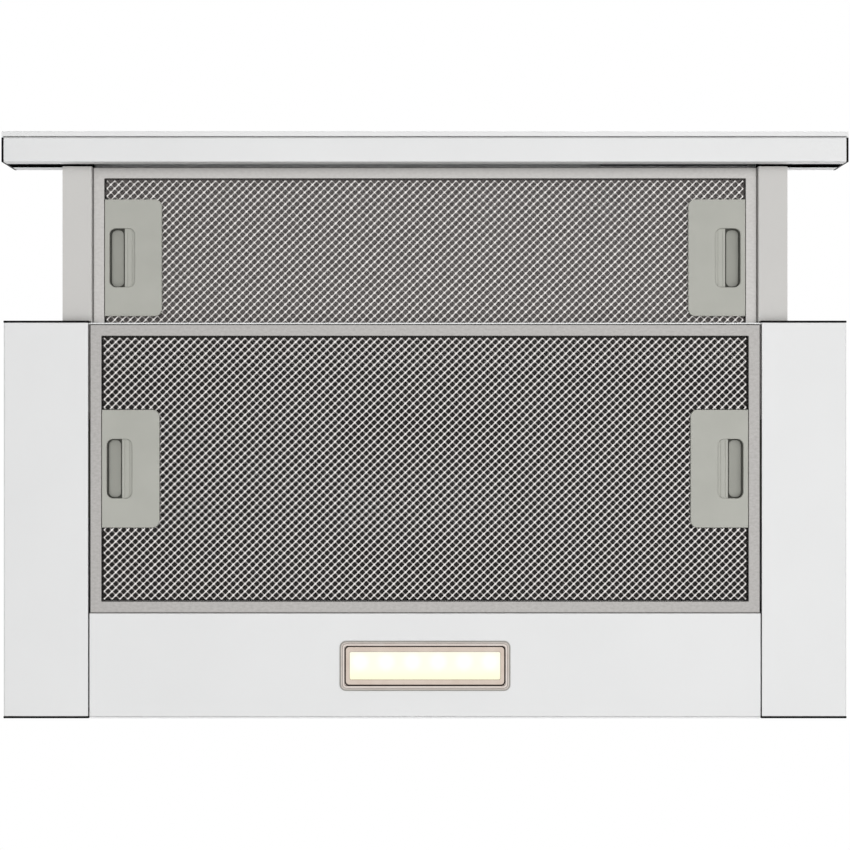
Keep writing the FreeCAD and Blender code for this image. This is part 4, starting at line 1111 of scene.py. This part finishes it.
def makeHousingWalls():
    sheet, edge, overlap = housing["sheet"], housing["edge"], housing["overlap"]
    within = housing["within"]
    low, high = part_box("housing_front_panel")
    wall = makeWall(
        "housing_front_panel_pressed", (low.x, high.y - sheet, -sheet), high, 1, -1
    )
    deck = foldedSheet(
        "deck", (-within, within, low.y, high.y - sheet / 2), 0,
        [("-y", [(0, 0, -housing["deckLip"])])], sheet, housing["fold"], growth=-1,
    )
    settle(joinAll(wall, deck), "hood_body", "galvanised_steel", galvanised, "housing_front_panel")
    low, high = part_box("housing_rear_panel")
    wallRear = low.y
    wall = makeWall("housing_rear_panel_pressed", (low.x, low.y, 0), high, 1, 1)
    stripTop = low.z + housing["strip"]
    skirt = slab("skirt", (-within, low.y, stripTop), (within, high.y, overlap))
    softenEdges(skirt, edge)
    strip = slab("rear_edge_strip", (-within, low.y, low.z), (within, high.y, stripTop))
    softenEdges(strip, edge)
    settle(strip, "hood_body", "white_powder_coat", whiteCoat, "housing_rear_panel")
    settle(joinAll(wall, skirt), "hood_body", "galvanised_steel", galvanised, "housing_rear_panel")
    for side, name in ((-1, "housing_side_left"), (1, "housing_side_right")):
        low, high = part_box(name)
        inner, outer = sorted((low.x, high.x), key=abs)
        x0, x1 = sorted((inner, inner + sheet * side))
        wall = makeWall(name + "_pressed", (x0, low.y, -sheet), (x1, wallRear, high.z), 0, side)
        x0, x1 = sorted((inner + overlap * side, outer))
        foot = slab("foot", (x0, low.y, low.z), (x1, high.y, low.z + sheet))
        softenEdges(foot, edge)
        settle(joinAll(wall, foot), "hood_body", "galvanised_steel", galvanised, name)


def makeLid():
    low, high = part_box("housing_lid")
    drop = (0, 0, low.z - high.z)
    piece = foldedSheet(
        "housing_lid_folded", (low.x, high.x, low.y, high.y), high.z,
        [("-x", [drop]), ("+x", [drop])], housing["sheet"], housing["fold"], growth=-1,
    )
    half, margin = housing["groove"] / 2, housing["lidMargin"]
    deep, over = high.z - housing["grooveDepth"], high.z + housing["grooveOver"]
    for place in housing["lidGrooves"]:
        for x in (-place, place):
            pressGroove(
                piece, (x - half, low.y + margin, deep), (x + half, high.y - margin, over), 2, deep
            )
    x, y = spigot["centre"]
    cutAway(piece, rod("hole", spigot["bore"], (x, y, low.z), (x, y, high.z + past), vertices=64))
    settle(piece, "hood_body", "galvanised_steel", galvanised, "housing_lid")


screw = {
    "head": 3.8 * mm, "height": 2.2 * mm, "shank": 2 * mm, "length": 6 * mm, "pole": 0.2 * mm,
    "crown": ((1, 0.35), (0.9, 0.68), (0.62, 0.92)),  # shares of the head's radius and height
    "recess": (0.9 * mm, 3.9 * mm), "recessDepth": 1.3 * mm, "turns": (0.4, 0.9),
    "pitch": 95 * mm, "rise": 5 * mm,
}


def makeScrew():  # a pan head with a cross recess, upright, its seat at the origin
    radius, height, length = screw["head"], screw["height"], screw["length"]
    piece = turned("screw", (0, 0), [
        (screw["pole"], -length), (screw["shank"], -length), (screw["shank"], 0), (radius, 0),
        *((radius * wide, height * high) for wide, high in screw["crown"]),
        (screw["pole"], height),
    ], vertices=24)
    pick(piece, "VERT", lambda place, normal: True)
    bpy.ops.mesh.fill_holes(sides=0)
    bpy.ops.mesh.normals_make_consistent(inside=False)
    leaveEdit()
    narrow, wide = (size / 2 for size in screw["recess"])
    floorZ = height - screw["recessDepth"]
    for x, y in ((narrow, wide), (wide, narrow)):
        cutAway(piece, slab("recess", (-x, -y, floorZ), (x, y, height + past)))
    return piece


def makeScrews():  # four on the spigot's flange, and three at each side of the lid
    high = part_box("housing_screws")[1]
    lidLow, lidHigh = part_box("housing_lid")
    x, y = spigot["centre"]
    offset = spigot["screwCircle"] / math.sqrt(2)
    seats = [
        ((x + a * offset, y + b * offset, high.z - screw["height"]), 0)
        for a in (-1, 1) for b in (-1, 1)
    ]
    seats += [
        ((lidHigh.x * side, y + n * screw["pitch"], lidLow.z + screw["rise"]), side)
        for side in (-1, 1) for n in (-1, 0, 1)
    ]
    firstTurn, nextTurn = screw["turns"]
    master = makeScrew()
    copies = []
    for n, (place, side) in enumerate(seats):
        activate(master)
        bpy.ops.object.duplicate()
        copy = bpy.context.object
        turn = 0 if side else firstTurn + n * nextTurn
        copy.rotation_euler = (0, math.pi / 2 * side, turn)
        copy.location = place
        copies.append(named("screw"))
    bpy.data.objects.remove(master)
    copies[0].name = "housing_screws_cross"
    settle(joinAll(*copies), "hood_body", "bright_steel", zincPlate, "housing_screws")


spigot = {
    "centre": (0, 20 * mm), "bore": 57.8 * mm, "radius": 60 * mm, "flange": 76 * mm,
    "flangeHeight": 2 * mm, "screwCircle": 70 * mm,
    "outline": [  # its section, as radius and height in mm: up the outside, down the bore
        (57.8, 0), (75.6, 0), (76, 0.4), (76, 1.5), (75.5, 2), (61.5, 2), (60.4, 2.5), (60, 3.6),
        (60, 17), (59.1, 18), (59.1, 19.6), (60, 20.6), (60, 27), (59, 30), (58.1, 30),
        (57.8, 29.6), (57.8, 6.1), (55.2, 6.1), (55.2, 4.5), (57.8, 4.5), (57.8, 0),
    ],
    "pinRise": 7 * mm, "pinOffset": 3 * mm, "pinHole": 1.55 * mm,
    "ribs": 8, "ribReach": 9 * mm, "ribHeight": 9 * mm, "ribEnd": 1.2 * mm, "ribHalf": 0.8 * mm,
    "ribSunk": (0.5 * mm, 0.3 * mm), "ribEdge": 0.25 * mm,
}


def makeSpigot():
    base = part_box("duct_spigot")[0].z
    x, y = spigot["centre"]
    radius, flange = spigot["radius"], spigot["flange"]
    outline = [(wide * mm, base + height * mm) for wide, height in spigot["outline"]]
    piece = turned("duct_spigot_moulded", spigot["centre"], outline, vertices=128)
    for side in (-1, 1):
        place = (y + side * spigot["pinOffset"], base + spigot["pinRise"])
        start, end = (x - flange, *place), (x + flange, *place)
        cutAway(piece, rod("hole", spigot["pinHole"], start, end, vertices=20))
    sunkX, sunkZ = spigot["ribSunk"]
    half, height = spigot["ribHalf"], spigot["ribHeight"]
    gussets = []
    for n in range(spigot["ribs"]):
        gusset = slab(
            "gusset", (radius - sunkX, -half, -sunkZ), (radius + spigot["ribReach"], half, height)
        )
        pick(gusset, "VERT", lambda place, normal: place.x > radius and place.z > 0)
        bpy.ops.transform.translate(value=(0, 0, spigot["ribEnd"] - height))
        leaveEdit()
        softenEdges(gusset, spigot["ribEdge"], angle=30)
        gusset.rotation_euler.z = 2 * math.pi * (n + 0.5) / spigot["ribs"]
        gusset.location = (x, y, base + spigot["flangeHeight"])
        activate(gusset)
        gussets.append(named("gusset"))
    settle(joinAll(piece, *gussets), "hood_body", "black_plastic", blackPlastic, "duct_spigot")


gland = {
    "hex": 12 * mm, "hexHeight": 6 * mm, "hexEdge": 0.5 * mm, "bore": 4 * mm, "cleared": 4.1 * mm,
    "cap": [  # its section, as radius and height in mm over the hexagon
        (4, -5), (10.6, -5), (10.6, 2.4), (9.6, 4), (6.6, 5.6), (6.1, 6), (4.3, 6), (4, 5.7),
        (4, -5),
    ],
    "grips": 12, "gripCircle": 10.6 * mm, "grip": 0.7 * mm, "gripZ": (-0.5 * mm, 2.4 * mm),
    "stem": 8 * mm, "stemSunk": 1 * mm,
}


def makeGland():
    low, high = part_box("cable_gland")
    x, y = (low.x + high.x) / 2, (low.y + high.y) / 2
    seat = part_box("housing_lid")[1].z
    hexTop = seat + gland["hexHeight"]

    def upright(name, radius, z0, z1, vertices=48):
        return rod(name, radius, (x, y, z0), (x, y, z1), vertices)

    piece = upright("cable_gland_moulded", gland["hex"], seat, hexTop, vertices=6)
    softenEdges(piece, gland["hexEdge"])
    outline = [(wide * mm, hexTop + height * mm) for wide, height in gland["cap"]]
    cap = turned("cap", (x, y), outline, vertices=48)
    cutAway(piece, upright("bore", gland["cleared"], seat - past, high.z + past))
    circle, (gripLow, gripHigh) = gland["gripCircle"], gland["gripZ"]
    grips = []
    for n in range(gland["grips"]):
        angle = 2 * math.pi * n / gland["grips"]
        place = (x + circle * math.cos(angle), y + circle * math.sin(angle))
        start, end = (*place, hexTop + gripLow), (*place, hexTop + gripHigh)
        grips.append(rod("grip", gland["grip"], start, end, vertices=10))
    stem = upright("stem", gland["stem"], low.z, seat + gland["stemSunk"])
    cutAway(stem, upright("bore", gland["bore"], low.z - past, high.z))
    joinAll(piece, cap, stem, *grips)
    settle(piece, "hood_body", "black_plastic", blackPlastic, "cable_gland")


makeHousingWalls()
makeLid()
makeScrews()
makeSpigot()
makeGland()
dress(galvanised, 0.3 * mm, "runner_left", "runner_right", "motor_bracket")
dress(galvanised, 0, "blower_scroll", "blower_side_left", "blower_side_right")
dress(impellerPlastic, 0, "impeller")
dress(zincPlate, 0, "motor_shaft")
dress(blackPlastic, 0.4 * mm, "drawer_switch")
dress(blackPlastic, 0.2 * mm, "backdraft_flap_front", "backdraft_flap_rear")
dress(motorPaint, 0, "motor")
dress(whiteCan, 0, "capacitor")
dress(greyPlastic, 0.5 * mm, "terminal_box")
print("housing made")

# Camera, straight below the hood, where its front is at the top of the picture
view = {"lens": 74.4, "sensor": 36, "clip": 0.05, "place": (0, -67.2 * mm, -1.292)}
camera = bpy.data.cameras.new("camera")
camera.lens = view["lens"]
camera.sensor_width = view["sensor"]
camera.clip_start = view["clip"]
cameraObject = bpy.data.objects.new("camera", camera)
cameraObject.location = view["place"]
cameraObject.rotation_euler = (math.pi, 0, 0)
bpy.context.scene.collection.objects.link(cameraObject)
bpy.context.scene.camera = cameraObject

# A pale floor far below, broad soft lamps below and above, and a white backdrop
floor = {
    "z": -2.2, "size": 60, "colours": ("#D6D7D7", "#DADBDB"), "cloud": 0.6,
    "reach": (2.5, 9), "glow": (0.42, 0.78),  # how bright it looks, near the hood and far away
}


def isSeen(tree):  # 1 for what the camera sees, also in metal and through glass
    rays = addNode(tree, "LightPath").outputs
    direct = reckon(tree, "MAXIMUM", rays["Is Camera Ray"], rays["Is Glossy Ray"])
    return reckon(tree, "MAXIMUM", direct, rays["Is Transmission Ray"])


def makeFloor():
    bpy.ops.mesh.primitive_grid_add(
        x_subdivisions=4, y_subdivisions=4, size=floor["size"], location=(0, 0, floor["z"])
    )
    piece = named("floor")
    material, tree, shader, place = newMaterial("pale floor", Roughness=0.8)
    cloud = noise(tree, place, [floor["cloud"]] * 3)
    tree.links.new(blendColours(tree, cloud, *floor["colours"]), shader.inputs["Base Color"])
    shader.inputs["Emission Color"].default_value = linear("#FFFFFF")
    away = addNode(tree, "VectorMath", {0: place}, operation="LENGTH").outputs["Value"]
    fade = eased(tree, away, *floor["reach"], *floor["glow"])
    glow = reckon(tree, "MULTIPLY", fade, isSeen(tree))
    tree.links.new(glow, shader.inputs["Emission Strength"])
    piece.data.materials.append(material)


makeFloor()

lamps = {  # place, size and power of each; all aim at the hood
    "below": ((0.05, 0.05, -1.7), 2.4, 20), "belowRight": ((1.5, -0.3, -1.3), 1.2, 5),
    "above": ((0.3, -0.8, 2.2), 2.4, 34), "rear": ((-1.6, 1.8, 1.2), 1.6, 16),
    "front": ((0.8, -2.4, 0.2), 1.8, 22),
}
for name, (place, size, power) in lamps.items():
    light = bpy.data.lights.new(name, "AREA")
    light.shape = "DISK"
    light.size = size
    light.energy = power
    lampObject = bpy.data.objects.new(name, light)
    lampObject.location = place
    lampObject.rotation_euler = (-Vector(place)).to_track_quat("-Z", "Y").to_euler()
    lampObject.visible_camera = False
    bpy.context.scene.collection.objects.link(lampObject)

backdrop = {"colour": "#FFFFFF", "light": 0.36, "seen": 1.0}
world = bpy.data.worlds.new("studio")
world.use_nodes = True
bpy.context.scene.world = world
sky = world.node_tree
background = sky.nodes["Background"]
background.inputs["Color"].default_value = linear(backdrop["colour"])
strength = spread(sky, isSeen(sky), backdrop["light"], backdrop["seen"])
sky.links.new(strength, background.inputs["Strength"])
bpy.context.scene.view_settings.view_transform = "Standard"
print("studio ready")
